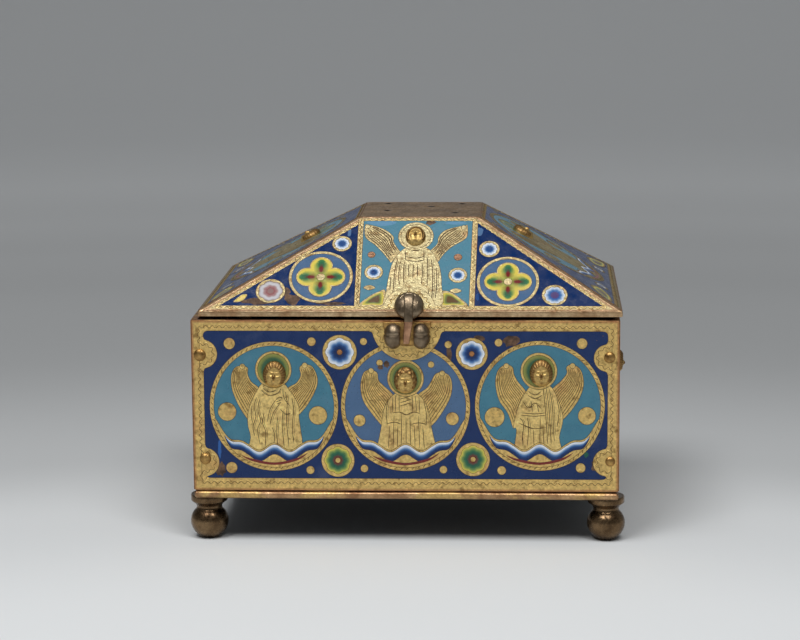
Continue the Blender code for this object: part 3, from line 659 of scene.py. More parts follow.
def buildSkin(name, skin, where):
    spots, loops = [], []
    for shape in skin["shapes"]:
        loops.append(list(range(len(spots), len(spots) + len(shape["spots"]))))
        spots += [Vector(p) for p in shape["spots"]]
    flat, _, faces, _, _, owners = geometry.delaunay_2d_cdt(spots, [], loops, 1, weldDistance, True)
    tops = [(face, skin["shapes"][max(owner)]) for face, owner in zip(faces, owners) if owner]
    levels = [set() for _ in flat]
    besides = {}
    blends = {}
    for face, shape in tops:
        height = finishes[shape["finish"]]
        for i, a in enumerate(face):
            levels[a].add(height)
            besides[(a, face[(i + 1) % len(face)])] = shape
            if shape["cell"]:
                blends.setdefault((a, shape["cell"]), set()).add(shape["colour"])
    vertices, numbers = [], {}

    def vertex(spot, height):
        if (spot, height) not in numbers:
            numbers[(spot, height)] = len(vertices)
            vertices.append(onPlane(where, flat[spot].x, flat[spot].y, height))
        return numbers[(spot, height)]

    polygons, kinds, paints = [], [], []
    following = {}
    for face, shape in tops:
        height = finishes[shape["finish"]]
        kind = finishOrder.index(shape["finish"])
        polygons.append([vertex(a, height) for a in face])
        kinds.append(kind)
        for a in face:
            mixed = blends.get((a, shape["cell"])) or {shape["colour"]}
            paints.append(tuple(sum(c) / len(mixed) for c in zip(*sorted(mixed))))
        for i, a in enumerate(face):
            b = face[(i + 1) % len(face)]
            beside = besides.get((b, a))
            floor = finishes[beside["finish"]] if beside else 0.0
            if beside is None:
                following[a] = b
            if floor >= height:
                continue
            down = sorted((h for h in levels[a] if floor < h < height), reverse=True)
            rise = sorted(h for h in levels[b] if floor < h < height)
            wall = [vertex(a, height), *(vertex(a, h) for h in down), vertex(a, floor)]
            wall += [vertex(b, floor), *(vertex(b, h) for h in rise), vertex(b, height)]
            polygons.append(wall)
            kinds.append(kind)
            paints += [shape["colour"]] * len(wall)
    start = next(iter(following))
    rim = [start]
    while following[rim[-1]] != start:
        rim.append(following[rim[-1]])
    polygons.append([vertex(a, 0.0) for a in reversed(rim)])
    kinds.append(0)
    paints += [colours["copper"]] * len(rim)

    mesh = bpy.data.meshes.new(name)
    mesh.from_pydata(vertices, [], polygons)
    mesh.polygons.foreach_set("material_index", kinds)
    paint = mesh.color_attributes.new(name="glaze", type="FLOAT_COLOR", domain="CORNER")
    paint.data.foreach_set("color", [c for colour in paints for c in (*colour, 1.0)])
    for finish in finishOrder:
        mesh.materials.append(materials[finish])
    mesh.update()
    print(name, "has", len(polygons), "faces")
    return addToScene(name, mesh)


# motifs

def layBorder(skin, gaps):  # returns the line that the tooling follows
    outline = skin["outline"]
    lay(skin, outline, "gilt", colours["copper"], "edge")
    for inset, share, cell in ((0.35, 0.6, "edge"), (0.8, 1.0, None)):
        worn = between(colours["copper"], colours["gold"], share)
        lay(skin, insetOutline(outline, [inset] * len(outline)), "gilt", worn, cell)
    middle = rounded(insetOutline(outline, [gap * 0.60 for gap in gaps]), 1.4)
    return middle + middle[:1]


rosettePalettes = {  # lobes, centre, then (size, colour) inwards
    "blue": (8, "copper", ((1.0, "white"), (0.90, "white"), (0.80, "paleBlue"), (0.68, "midBlue"),
                           (0.54, "night"), (0.38, "night"))),
    "green": (8, "gold", ((1.0, "yellow"), (0.90, "limeGreen"), (0.78, "leafGreen"), (0.62, "darkGreen"),
                          (0.46, "darkGreen"),
                          (0.34, "oxblood"))),
    "small": (10, None, ((1.0, "white"), (0.86, "white"), (0.70, "paleBlue"), (0.56, "midBlue"),
                         (0.40, "night"))),
    "red": (10, None, ((1.0, "white"), (0.84, "paleBlue"), (0.66, "midBlue"), (0.50, "midBlue"),
                       (0.34, "oxblood"))),
    "broken": (7, None, ((1.0, "dust"), (0.84, "white"), (0.70, "dust"), (0.56, "pink"), (0.34, "oxblood"),
                         (0.20, "dust"))),
}
rosetteShape = {"scallop": 0.11, "groove": 0.14, "heart": 0.15, "heartRim": 0.22}


def layRosette(skin, centre, radius, kind, ring=1.05):
    lobes, heart, steps = rosettePalettes[kind]
    setup = rosetteShape
    layGold(skin, disc(centre, radius))
    start = radius - ring
    layGroove(skin, scalloped(centre, start, lobes, setup["scallop"]), setup["groove"])
    outlines = [scalloped(centre, start * share, lobes, setup["scallop"]) for share, _ in steps]
    layGraded(skin, outlines, [colours[name] for _, name in steps], f"rosette {centre}")
    if heart:
        layGold(skin, disc(centre, radius * setup["heart"], sidesOf["smallHeart"]), heart, setup["heartRim"])


roundelShape = {
    "ring": 1.15, "offset": 0.41, "lobe": 0.36, "heart": 0.13,
    "foils": ((0.35, "yellow"), (0.85, "yellow"), (1.3, "yellow"), (1.7, "limeGreen")),
    # shares of the radius: distance from the middle, half length, half width
    "petals": ((0.50, 0.19, 0.15, "leafGreen"), (0.48, 0.11, 0.08, "darkGreen"),
               (0.30, 0.13, 0.080, "oxblood"),
               (0.30, 0.09, 0.045, "oxblood")),
}


def layRoundel(skin, centre, radius):  # a quatrefoil in a gilt ring
    setup = roundelShape
    layGold(skin, disc(centre, radius, sidesOf["roundel"]))
    layField(skin, disc(centre, radius - setup["ring"], sidesOf["roundel"]), "sky")
    offset, lobe = radius * setup["offset"], radius * setup["lobe"]
    layGold(skin, quatrefoil(centre, offset, lobe))
    cell = f"foil {centre}"
    rims = [quatrefoil(centre, offset, lobe - step) for step, _ in setup["foils"]]
    layGraded(skin, rims, [colours[name] for _, name in setup["foils"]], cell)
    for quarter in range(4):
        turn = math.pi / 2 * quarter
        side = (math.cos(turn), math.sin(turn))
        for distance, long, narrow, colour in setup["petals"]:
            middle = (centre[0] + side[0] * radius * distance, centre[1] + side[1] * radius * distance)
            size = (narrow, long) if quarter % 2 else (long, narrow)
            petal = disc(middle, radius * size[1], sidesOf["dot"], size[0] / size[1])
            lay(skin, petal, "enamel", colours[colour], cell)
    layGold(skin, disc(centre, radius * setup["heart"], sidesOf["heart"]), "paleGold")


leafShares = (0.80, 0.66, 0.52, 0.36)


def layLeaf(skin, line, tones, cell):
    outline = curveThrough(line, 6, closed=True)
    layGold(skin, outline)
    middle = (sum(x for x, _ in outline) / len(outline), sum(y for _, y in outline) / len(outline))
    inner = [[between(middle, spot, share) for spot in outline] for share in leafShares]
    layGraded(skin, inner, tones, cell)


def lerpLines(first, second, share, steps=18):
    def at(line, place):
        spot = place * (len(line) - 1)
        i = min(int(spot), len(line) - 2)
        return between(line[i], line[i + 1], spot - i)
    return [between(at(first, k / steps), at(second, k / steps), share) for k in range(steps + 1)]


wingTip = 0.95  # radius of the boss at a wing's tip


def layWing(skin, inner, outer, centre, scale, feathers):
    innerLine = curveThrough(moved(inner, centre, scale), 5)
    outerLine = curveThrough(moved(outer, centre, scale), 5)
    layGold(skin, innerLine + outerLine[::-1])
    for share in feathers["bow"]:
        layLine(skin, lerpLines(innerLine, outerLine, share)[3:-1], feathers["line"] * 1.2 * scale)
    for i in range(feathers["count"]):
        share = feathers["first"] + (feathers["last"] - feathers["first"]) * i / (feathers["count"] - 1)
        line = lerpLines(innerLine, outerLine, share)
        layLine(skin, line[4 + i % 2: -1 - (i + 1) % 2], feathers["line"] * scale)
    tip = lerpLines(innerLine, outerLine, 0.5)[2]
    layGold(skin, disc(tip, wingTip * scale, sidesOf["heart"]), "paleGold")


feathers = {"bow": (0.90, 0.80), "count": 9, "first": 0.10, "last": 0.70, "line": 0.20}

seaSetup = {"level": -16.2, "swell": 1.42, "length": 11.9, "bank": 10.7, "rise": 4.6, "run": 6.9,
             "bankPower": 1.3, "halfWidth": 19.0, "depth": 3.6, "thinning": 1.3, "line": 0.7,
             "ends": 19.2, "point": 2.6}


def seaLine(u, lower=0.0):  # the waves under an angel, from the medallion's centre
    s = seaSetup
    bank = max(0.0, abs(u) - s["bank"]) / s["run"]
    top = s["level"] + s["swell"] * math.cos(math.tau * u / s["length"]) + s["rise"] * bank ** s["bankPower"]
    return top - lower * (s["depth"] - s["thinning"] * (u / s["halfWidth"]) ** 2)


def belowSea(radius, lift):  # everything inside a circle and under the waves
    reach = radius
    while math.hypot(reach, seaLine(reach) + lift) > radius:
        reach -= 0.05
    line = [(-reach + 2 * reach * i / 60, seaLine(-reach + 2 * reach * i / 60) + lift) for i in range(61)]
    start = math.atan2(seaLine(reach) + lift, reach)
    end = math.atan2(seaLine(-reach) + lift, -reach)
    if end > start:
        end -= math.tau
    return line + arc((0.0, 0.0), radius, start, end, 40)[1:-1]


seaTones = ((0.0, "white"), (0.13, "white"), (0.24, "paleBlue"), (0.38, "midBlue"), (0.56, "night"),
            (0.78, "night"))
seaBed = [(-12.9, -18.9), (-8.6, -21.2), (0.0, -22.6), (8.6, -20.9), (12.9, -17.8), (8.4, -20.0),
          (0.0, -21.6),
          (-8.4, -20.3)]


def laySea(skin, centre, scale, radius):
    layGold(skin, moved(belowSea(radius / scale + 0.3, seaSetup["line"]), centre, scale))
    ends = seaSetup["ends"]
    us = [-ends + 2 * ends * i / 60 for i in range(61)]

    def level(u, lower):
        narrowing = min(1.0, max(0.0, (ends - abs(u)) / seaSetup["point"])) ** 0.5
        return seaLine(u, lower * narrowing)

    bands = [[(u, level(u, share)) for u in us] + [(u, level(u, 1.0)) for u in reversed(us[1:-1])]
             for share, _ in seaTones]
    layGroove(skin, moved(grown(bands[0], 0.15), centre, scale))
    shades = [colours[name] for _, name in seaTones]
    layGraded(skin, [moved(band, centre, scale) for band in bands], shades, f"sea {centre}")
    lay(skin, moved(curveThrough(seaBed, 5, closed=True), centre, scale), "enamel", colours["oxblood"])


# each angel: wing edges from the tip down, halo, discs and engraved folds, mm from the medallion's centre

angels = {
    "left": {
        "halo": (0.0, 14.1),
        "wings": (
            ([(-11.6, 15.6), (-9.9, 14.6), (-10.0, 12.4), (-8.6, 9.4), (-5.6, 6.8), (-4.2, 2.0)],
             [(-11.6, 15.6), (-14.6, 14.8), (-16.2, 11.6), (-15.9, 6.2), (-13.2, -0.3), (-9.9, -5.4)]),
            ([(11.6, 16.2), (10.2, 14.8), (10.6, 12.0), (8.9, 9.0), (5.4, 6.8), (4.0, 2.0)],
             [(11.6, 16.2), (15.0, 15.2), (16.9, 10.8), (16.2, 6.6), (12.9, 0.6), (9.2, -3.6)]),
        ),
        "robe": [(-5.9, 6.8), (-3.2, 9.0), (3.2, 9.0), (5.6, 6.8), (9.2, 1.0), (9.6, -4.5), (9.4, -20.0),
                 (-9.3, -20.0),
                 (-9.1, -12.0), (-10.1, -6.9), (-9.6, -1.0)],
        "discs": ((-18.1, -2.1, 3.45), (17.0, -3.4, 3.45)),
        "folds": (
            [(-4.8, 6.4), (-2.1, 4.2), (1.5, 5.1), (2.9, 6.9)], [(-4.0, 7.0), (-1.9, 5.5), (1.0, 6.2)],
            [(-6.6, 3.5), (-7.6, 0.0), (-7.0, -4.0), (-8.2, -8.0), (-7.6, -11.5)],
            [(-5.4, 2.8), (-6.2, -1.5), (-5.2, -5.5), (-6.4, -9.0), (-5.6, -14.5)],
            [(-3.9, -2.5), (-4.4, -6.5), (-3.3, -10.0), (-3.6, -15.5)],
            [(-2.6, -6.0), (-1.4, -1.0), (0.8, 2.5)], [(-1.6, -7.0), (-0.2, -2.5), (2.4, 1.2)],
            [(0.8, 2.5), (2.2, 3.6), (3.4, 3.0)], [(0.9, 1.7), (2.8, 2.5)], [(1.2, 0.9), (2.9, 1.6)],
            [(-0.8, -8.0), (0.1, -11.0), (-0.4, -16.0)], [(1.4, -4.0), (1.0, -9.0), (1.3, -16.0)],
            [(3.6, -1.5), (3.1, -7.0), (3.8, -16.0)], [(4.6, 5.6), (5.2, 1.0), (4.8, -5.0), (5.6, -15.5)],
            [(7.0, 3.5), (7.6, -1.5), (7.0, -8.0), (7.6, -14.5)], [(3.6, 6.6), (4.0, 3.2), (6.2, 0.2)],
            [(-8.4, 0.6), (-8.8, -3.4), (-8.2, -6.6)], [(2.4, -1.0), (4.4, -3.0), (6.4, -2.6)],
        ),
    },
    "middle": {
        "halo": (0.1, 10.8),
        "wings": (
            ([(-12.9, 14.1), (-10.8, 12.8), (-10.3, 10.0), (-8.0, 7.6), (-4.6, 4.0), (-4.0, -2.0)],
             [(-12.9, 14.1), (-15.8, 13.0), (-17.1, 8.0), (-16.2, 2.4), (-12.9, -2.7), (-9.2, -7.2)]),
            ([(14.0, 13.4), (11.6, 12.4), (10.3, 10.2), (8.4, 7.2), (4.6, 4.0), (4.0, -2.0)],
             [(14.0, 13.4), (17.0, 11.6), (17.9, 7.4), (16.6, 2.3), (12.6, -4.3), (9.8, -7.4)]),
        ),
        "robe": [(-5.4, 3.6), (-2.6, 5.4), (3.0, 5.4), (5.8, 3.8), (8.2, 0.0), (9.8, -7.4), (10.2, -20.0),
                 (-9.4, -20.0),
                 (-9.2, -7.4), (-7.8, 0.0)],
        "discs": ((-17.7, -5.4, 2.2), (18.0, -4.6, 2.4), (-9.8, 16.7, 1.15), (9.9, 16.1, 1.15)),
        "folds": (
            [(-4.8, 3.8), (-4.9, -2.4)], [(-3.8, 4.2), (-3.9, -2.2)], [(-2.4, 4.6), (-2.4, -2.0)],
            [(2.6, 4.6), (2.7, -2.0)], [(3.9, 4.2), (4.2, -2.2)], [(5.2, 3.8), (5.5, -2.4)],
            [(-2.2, 2.8), (2.4, 4.2)], [(-2.2, 1.4), (2.5, 2.9)], [(-2.2, 0.2), (2.5, 1.6)],
            [(-5.0, -2.5), (-2.4, -2.1), (0.2, -3.2), (2.7, -2.1), (5.6, -2.6)],
            [(-6.6, 2.6), (-7.4, -2.0), (-7.0, -7.0)], [(7.0, 2.2), (8.0, -2.4), (7.9, -7.4)],
            [(-7.2, -6.6), (-4.4, -6.0), (-1.6, -6.8)], [(7.9, -6.8), (5.0, -6.2), (2.2, -6.8)],
            [(-6.2, -7.4), (-6.6, -16.0)], [(-4.4, -3.4), (-4.8, -16.0)], [(-3.0, -7.4), (-3.2, -15.6)],
            [(-1.5, -3.0), (-1.7, -15.4)], [(0.2, -4.0), (0.2, -14.8)], [(1.7, -3.2), (1.9, -15.4)],
            [(3.4, -7.2), (3.6, -15.6)], [(5.0, -3.4), (5.4, -16.0)], [(6.6, -7.2), (7.2, -16.2)],
        ),
    },
    "right": {
        "halo": (-0.4, 13.3),
        "wings": (
            ([(-12.6, 16.0), (-10.4, 14.6), (-10.0, 12.2), (-8.4, 9.2), (-5.3, 5.3), (-4.4, 0.0)],
             [(-12.6, 16.0), (-15.7, 13.9), (-16.9, 9.0), (-15.6, 2.4), (-12.2, -2.7), (-10.2, -8.4)]),
            ([(12.0, 16.1), (10.2, 14.8), (10.3, 12.4), (8.0, 9.4), (4.6, 6.0), (4.0, 0.0)],
             [(12.0, 16.1), (15.4, 13.9), (16.6, 8.6), (15.2, 3.4), (12.0, -1.6), (8.8, -5.2)]),
        ),
        "robe": [(-5.3, 5.4), (-2.8, 7.6), (3.0, 7.8), (5.2, 6.0), (7.4, 1.0), (8.8, -5.0), (7.4, -12.0),
                 (7.6, -20.0),
                 (-8.4, -20.0), (-8.8, -9.2), (-10.0, -8.0), (-8.0, 0.0)],
        "discs": ((-17.3, -4.3, 3.7), (18.0, -3.7, 3.3)),
        "folds": (
            [(1.2, 7.2), (2.0, 0.0), (2.6, -8.0), (3.0, -14.5)],
            [(2.4, 7.0), (3.4, 0.0), (4.0, -8.0), (4.4, -14.5)],
            [(3.6, 6.6), (4.8, 0.0), (5.2, -8.0), (5.6, -13.5)], [(-4.4, 5.6), (-2.0, 4.2), (0.6, 5.6)],
            [(-4.6, 4.2), (-2.0, 2.8), (1.0, 4.2)], [(-7.0, -2.6), (-2.0, -3.0), (2.2, -2.6)],
            [(-7.2, -3.5), (-2.0, -3.9), (2.2, -3.5)], [(-6.4, 1.6), (-4.2, -0.8), (-2.0, 1.2), (0.6, -1.0)],
            [(-8.2, -6.4), (-3.0, -8.6), (2.4, -8.2)], [(-7.6, -4.6), (-6.2, -7.0), (-6.8, -13.5)],
            [(-4.8, -4.4), (-4.2, -8.0), (-4.8, -15.5)], [(-2.4, -9.0), (-2.2, -15.5)],
            [(0.2, -4.2), (0.0, -15.0)],
            [(6.4, 3.0), (7.4, -2.0), (6.6, -8.0)], [(-1.0, 0.6), (-0.4, -2.4)],
            [(-6.6, -9.6), (-6.4, -15.5)],
            [(-3.4, 2.0), (-2.8, -2.2)], [(1.4, -9.4), (1.6, -14.8)],
        ),
    },
}

medallionShape = {"radius": 24.74, "ring": 1.6, "tickLine": 0.8}  # the angels above are drawn for this radius
haloShape = {"radius": 6.9, "rings": ((6.0, "olive"), (5.5, "olive"), (4.9, "moss"), (4.3, "darkGreen"))}
foldShape = {"width": 0.26, "echo": 0.62, "echoWidth": 0.15}


def layFolds(skin, folds, centre, scale, weight=1.0):  # each engraved line has a finer one beside it
    setup = foldShape
    for fold in folds:
        line = curveThrough(moved(fold, centre, scale), 4)
        layLine(skin, line, setup["width"] * scale * weight)
        echo = [(u + setup["echo"] * scale, v) for u, v in line][1:-2]
        layLine(skin, echo, setup["echoWidth"] * scale * weight)


def layAngel(skin, angel, centre, scale=1.0):
    for inner, outer in angel["wings"]:
        layWing(skin, inner, outer, centre, scale, feathers)
    layGold(skin, moved(curveThrough(angel["robe"], 4, closed=True), centre, scale), "paleGold")
    layFolds(skin, angel["folds"], centre, scale)
    halo = moved([angel["halo"]], centre, scale)[0]
    layGold(skin, disc(halo, haloShape["radius"] * scale))
    rings = [disc(halo, radius * scale) for radius, _ in haloShape["rings"]]
    layField(skin, rings[0], "olive")
    layGraded(skin, rings, [colours[name] for _, name in haloShape["rings"]], f"halo {centre}")


def layAngelMedallion(skin, name, centre, ground, radius=medallionShape["radius"]):
    scale = radius / medallionShape["radius"]
    inner = radius - medallionShape["ring"] * scale
    layGold(skin, disc(centre, radius, sidesOf["medallion"]))
    layField(skin, disc(centre, inner, sidesOf["medallion"]), ground)
    ring = disc(centre, radius - medallionShape["tickLine"] * scale, sidesOf["medallion"])
    skin["ticks"].append(ring + ring[:1])
    layAngel(skin, angels[name], centre, scale)
    laySea(skin, centre, scale, inner)
    for x, y, size in angels[name]["discs"]:
        layGold(skin, disc(moved([(x, y)], centre, scale)[0], size * scale, sidesOf["disc"]))


speckSizes = (0.10, 0.30)


def laySpecks(skin, area, count, seed):  # small chips in the enamel
    rng = random.Random(seed)
    for _ in range(count):
        spot = (rng.uniform(area[0], area[2]), rng.uniform(area[1], area[3]))
        size = rng.uniform(*speckSizes)
        lay(skin, ragged(spot, size, size, rng.random(), 7), "bare", colours["bareMetal"])


def layMotifs(skin, setup, ring=1.05, dots="gold"):
    for u, v, radius in setup.get("roundels", ()):
        layRoundel(skin, (u, v), radius)
    for u, v, radius, kind in setup["rosettes"]:
        layRosette(skin, (u, v), radius, kind, ring)
    for i, leaf in enumerate(setup.get("leaves", ())):
        layLeaf(skin, leaf, [colours[name] for name in ("yellow", "leafGreen", "oxblood")], f"leaf {i}")
    for u, v, radius in setup["dots"]:
        layGold(skin, disc((u, v), radius, sidesOf["dot"]), dots)


# front plate

frontSetup = {
    "edge": 0.3,
    "detour": 3.9,
    "border": (5.0, 4.5, 4.2, 4.7),
    "medallions": (("left", (-50.5, 32.6), "sea"), ("middle", (0.2, 32.7), "sky"),
                   ("right", (51.7, 33.1), "sea")),
    "lobes": ((-77.5, 52.6, 5.35), (-77.5, 11.0, 5.4), (77.4, 51.4, 5.1), (77.4, 11.5, 5.2)),
    "collar": (0.9, 63.7, 13.4),
    "dots": ((-67.3, 56.6, 2.1), (-35.7, 57.4, 1.6), (-15.7, 57.5, 1.3), (16.7, 56.4, 1.3), (35.9, 57.2, 1.4),
             (67.7, 56.9, 1.95), (-67.2, 8.9, 2.1), (-36.7, 8.1, 1.5), (-15.8, 8.8, 1.4), (14.7, 8.5, 1.4),
             (37.1, 8.3, 1.6), (67.4, 9.4, 1.8)),
    "rosettes": ((-24.9, 53.4, 6.5, "blue"), (25.7, 52.9, 6.0, "blue"), (-26.0, 11.9, 6.3, "green"),
                 (26.1, 12.5, 6.4, "green")),
    "losses": ((-71.4, 8.2, 2.6, 3.6, "bare", "bareMetal"), (-71.8, 16.5, 0.9, 4.6, "enamel", "midBlue"),
               (40.6, 57.6, 4.2, 2.8, "bare", "bareMetal"), (17.0, 53.0, 1.2, 4.6, "bare", "bareMetal"),
               (73.2, 10.4, 2.4, 3.6, "bare", "bareMetal"), (28.5, 58.8, 3.4, 1.6, "bare", "bareMetal"),
               (69.5, 14.6, 1.2, 1.4, "enamel", "darkGreen")),
    "middleLosses": ((-6.9, 48.9, 1.7, 1.6, "bare", "bareMetal"),
                     (-9.2, 47.6, 1.5, 1.2, "bare", "bareMetal")),
    "lossSeed": 3, "middleLossSeed": 31, "specks": ((-76, 6, 76, 60), 60, 11),
    "fieldCorner": 2.0, "lobeFillet": 1.3, "collarFillet": 1.4, "collarLine": 0.86,
}


def rectangle(left, low, right, high):
    return [(left, low), (right, low), (right, high), (left, high)]


def aroundRivets(line, lobes, reach):  # the tooled line bends round each rivet on its inner side
    spots = []
    for u, v in line:
        for middle, level, _ in lobes:
            if abs(v - level) < reach and abs(u - middle) < reach:
                u = middle - math.copysign(math.sqrt(reach ** 2 - (v - level) ** 2), middle)
        spots.append((u, v))
    return spots


def layLosses(skin, losses, seed, field=None):  # a field keeps them off the border
    for i, (u, v, wide, high, finish, colour) in enumerate(losses):
        spots = ragged((u, v), wide, high, i + seed)
        lay(skin, clipped(spots, field) if field else spots, finish, colours[colour])


def makeWallSkin(halfWidth, borders, tooling=list):
    edge = frontSetup["edge"]
    skin = newSkin(rectangle(-halfWidth + edge, edge, halfWidth - edge, wallHeight - edge))
    gaps = [gap - edge for gap in borders]
    skin["wriggles"].append(tooling(layBorder(skin, gaps)))
    layField(skin, rounded(insetOutline(skin["outline"], gaps), frontSetup["fieldCorner"]), "night")
    return skin


def makeFrontSkin():
    setup = frontSetup
    halfWidth = boxHigh.x / mm
    skin = makeWallSkin(halfWidth, setup["border"],
                        lambda line: aroundRivets(dense(line), setup["lobes"], setup["detour"]))
    layLosses(skin, setup["losses"], setup["lossSeed"])
    laySpecks(skin, *setup["specks"])
    for u, v, radius in setup["lobes"]:
        hand = 1 if u < 0 else -1
        border = setup["border"][3 if u < 0 else 1]
        layGold(skin, filletedDisc(border - halfWidth, (u, v), radius, setup["lobeFillet"], (hand, 0)))
    for name, centre, ground in setup["medallions"]:
        layAngelMedallion(skin, name, centre, ground)
    layLosses(skin, setup["middleLosses"], setup["middleLossSeed"])
    layMotifs(skin, setup)
    u, v, radius = setup["collar"]
    layGold(skin, filletedDisc(setup["border"][2] - wallHeight, (u, v), radius, setup["collarFillet"],
                               (0, -1)))
    skin["wriggles"].append(arc((u, v), radius * setup["collarLine"], math.pi, math.tau, 40))
    return skin


# back plate and ends

corners = ("left_upper", "left_lower", "right_upper", "right_lower")
backSetup = {
    "roundels": ((-50.0, 32.8, 18.5), (0.0, 32.8, 18.5), (50.0, 32.8, 18.5)),
    "rosettes": ((-25.0, 51.6, 5.2, "blue"), (25.0, 51.6, 5.2, "blue"), (-25.0, 14.0, 5.2, "green"),
                 (25.0, 14.0, 5.2, "green")),
    "dots": ((-68.0, 56.0, 1.8), (68.0, 56.0, 1.8), (-68.0, 9.6, 1.8), (68.0, 9.6, 1.8), (-34.0, 9.0, 1.4),
             (34.0, 9.0, 1.4), (0.0, 9.0, 1.4), (0.0, 56.6, 1.4)),
    "lobeRadius": 5.2, "specks": ((-76, 6, 76, 60), 50, 23),
}
endSetup = {
    "medallions": (("left", (-28.0, 33.0)), ("right", (28.0, 33.6))),
    "radius": 22.4,
    "borders": (4.8, 4.6, 4.2, 4.6),
    "specks": ((-50, 6, 50, 60), 36),
    "rosettes": ((0.0, 52.6, 4.6, "blue"), (0.0, 13.0, 4.6, "green")),
    "dots": ((-48.6, 56.6, 1.6), (48.6, 56.6, 1.6), (-48.6, 9.4, 1.6), (48.6, 9.4, 1.6), (0.0, 33.0, 1.4)),
}


def seatOf(node, where):  # a CAD node's middle, half sizes and highest values on a plane
    low, high = spanOn(node, where)
    return [(a + b) / 2 for a, b in zip(low, high)], [(b - a) / 2 for a, b in zip(low, high)], high


def makeBackSkin():
    skin = makeWallSkin(boxHigh.x / mm, frontSetup["border"])
    laySpecks(skin, *backSetup["specks"])
    for corner in corners:
        centre, _, _ = seatOf("rivet_back_" + corner, planes["back"])
        layGold(skin, disc(centre, backSetup["lobeRadius"]))
    layMotifs(skin, backSetup)
    return skin


def makeEndSkin(seed):
    skin = makeWallSkin(boxHigh.y / mm, endSetup["borders"])
    laySpecks(skin, *endSetup["specks"], seed)
    for name, centre in endSetup["medallions"]:
        layAngelMedallion(skin, name, centre, "sea", endSetup["radius"])
    layMotifs(skin, endSetup)
    return skin


# lid

lidAngel = {
    "halo": (1.5, 36.1, 6.8),
    "wings": (
        ([(-18.4, 42.0), (-14.6, 41.0), (-10.6, 39.2), (-7.4, 36.0), (-7.2, 33.2), (-4.4, 28.4)],
         [(-18.4, 42.0), (-18.6, 38.6), (-17.8, 35.2), (-14.0, 31.6), (-10.6, 27.4), (-7.8, 23.2)]),
        ([(21.4, 41.6), (16.2, 40.3), (12.4, 38.6), (10.4, 35.6), (10.0, 32.4), (7.4, 29.2)],
         [(21.4, 41.6), (21.6, 38.4), (20.8, 35.0), (15.8, 31.2), (12.6, 27.6), (10.4, 23.6)]),
    ),
    "robe": [(-4.2, 28.6), (-1.4, 30.6), (4.4, 30.6), (7.4, 29.0), (10.0, 24.2), (11.4, 19.0), (11.9, 12.6),
             (11.2, 2.0),
             (-8.6, 2.0), (-9.0, 9.6), (-8.2, 17.8), (-6.8, 24.0)],
    "folds": (
        [(-2.4, 29.2), (-2.2, 24.6)], [(4.8, 29.2), (5.0, 24.4)], [(-2.2, 26.2), (1.4, 25.4), (5.0, 26.2)],
        [(-2.2, 24.6), (1.4, 23.8), (5.0, 24.4)], [(-5.2, 25.2), (-6.2, 19.0), (-6.4, 12.0), (-6.8, 6.0)],
        [(-4.0, 24.4), (-4.6, 18.0), (-4.2, 12.0)], [(-2.6, 23.8), (-2.8, 18.0), (-2.4, 12.6)],
        [(-0.9, 22.8), (-0.7, 16.0)], [(0.9, 22.6), (0.9, 15.6)], [(2.6, 22.6), (2.6, 16.0)],
        [(4.3, 23.0), (4.5, 17.0), (4.3, 12.8)], [(6.2, 26.0), (6.4, 18.0), (6.5, 12.0)],
        [(7.8, 25.0), (8.5, 18.0), (8.6, 10.0), (8.2, 4.0)], [(9.7, 21.0), (10.2, 14.0), (9.8, 6.0)],
        [(-7.6, 16.0), (-7.8, 10.0)], [(0.2, 29.0), (3.0, 29.0)], [(7.2, 10.0), (6.8, 5.0)],
    ),
}
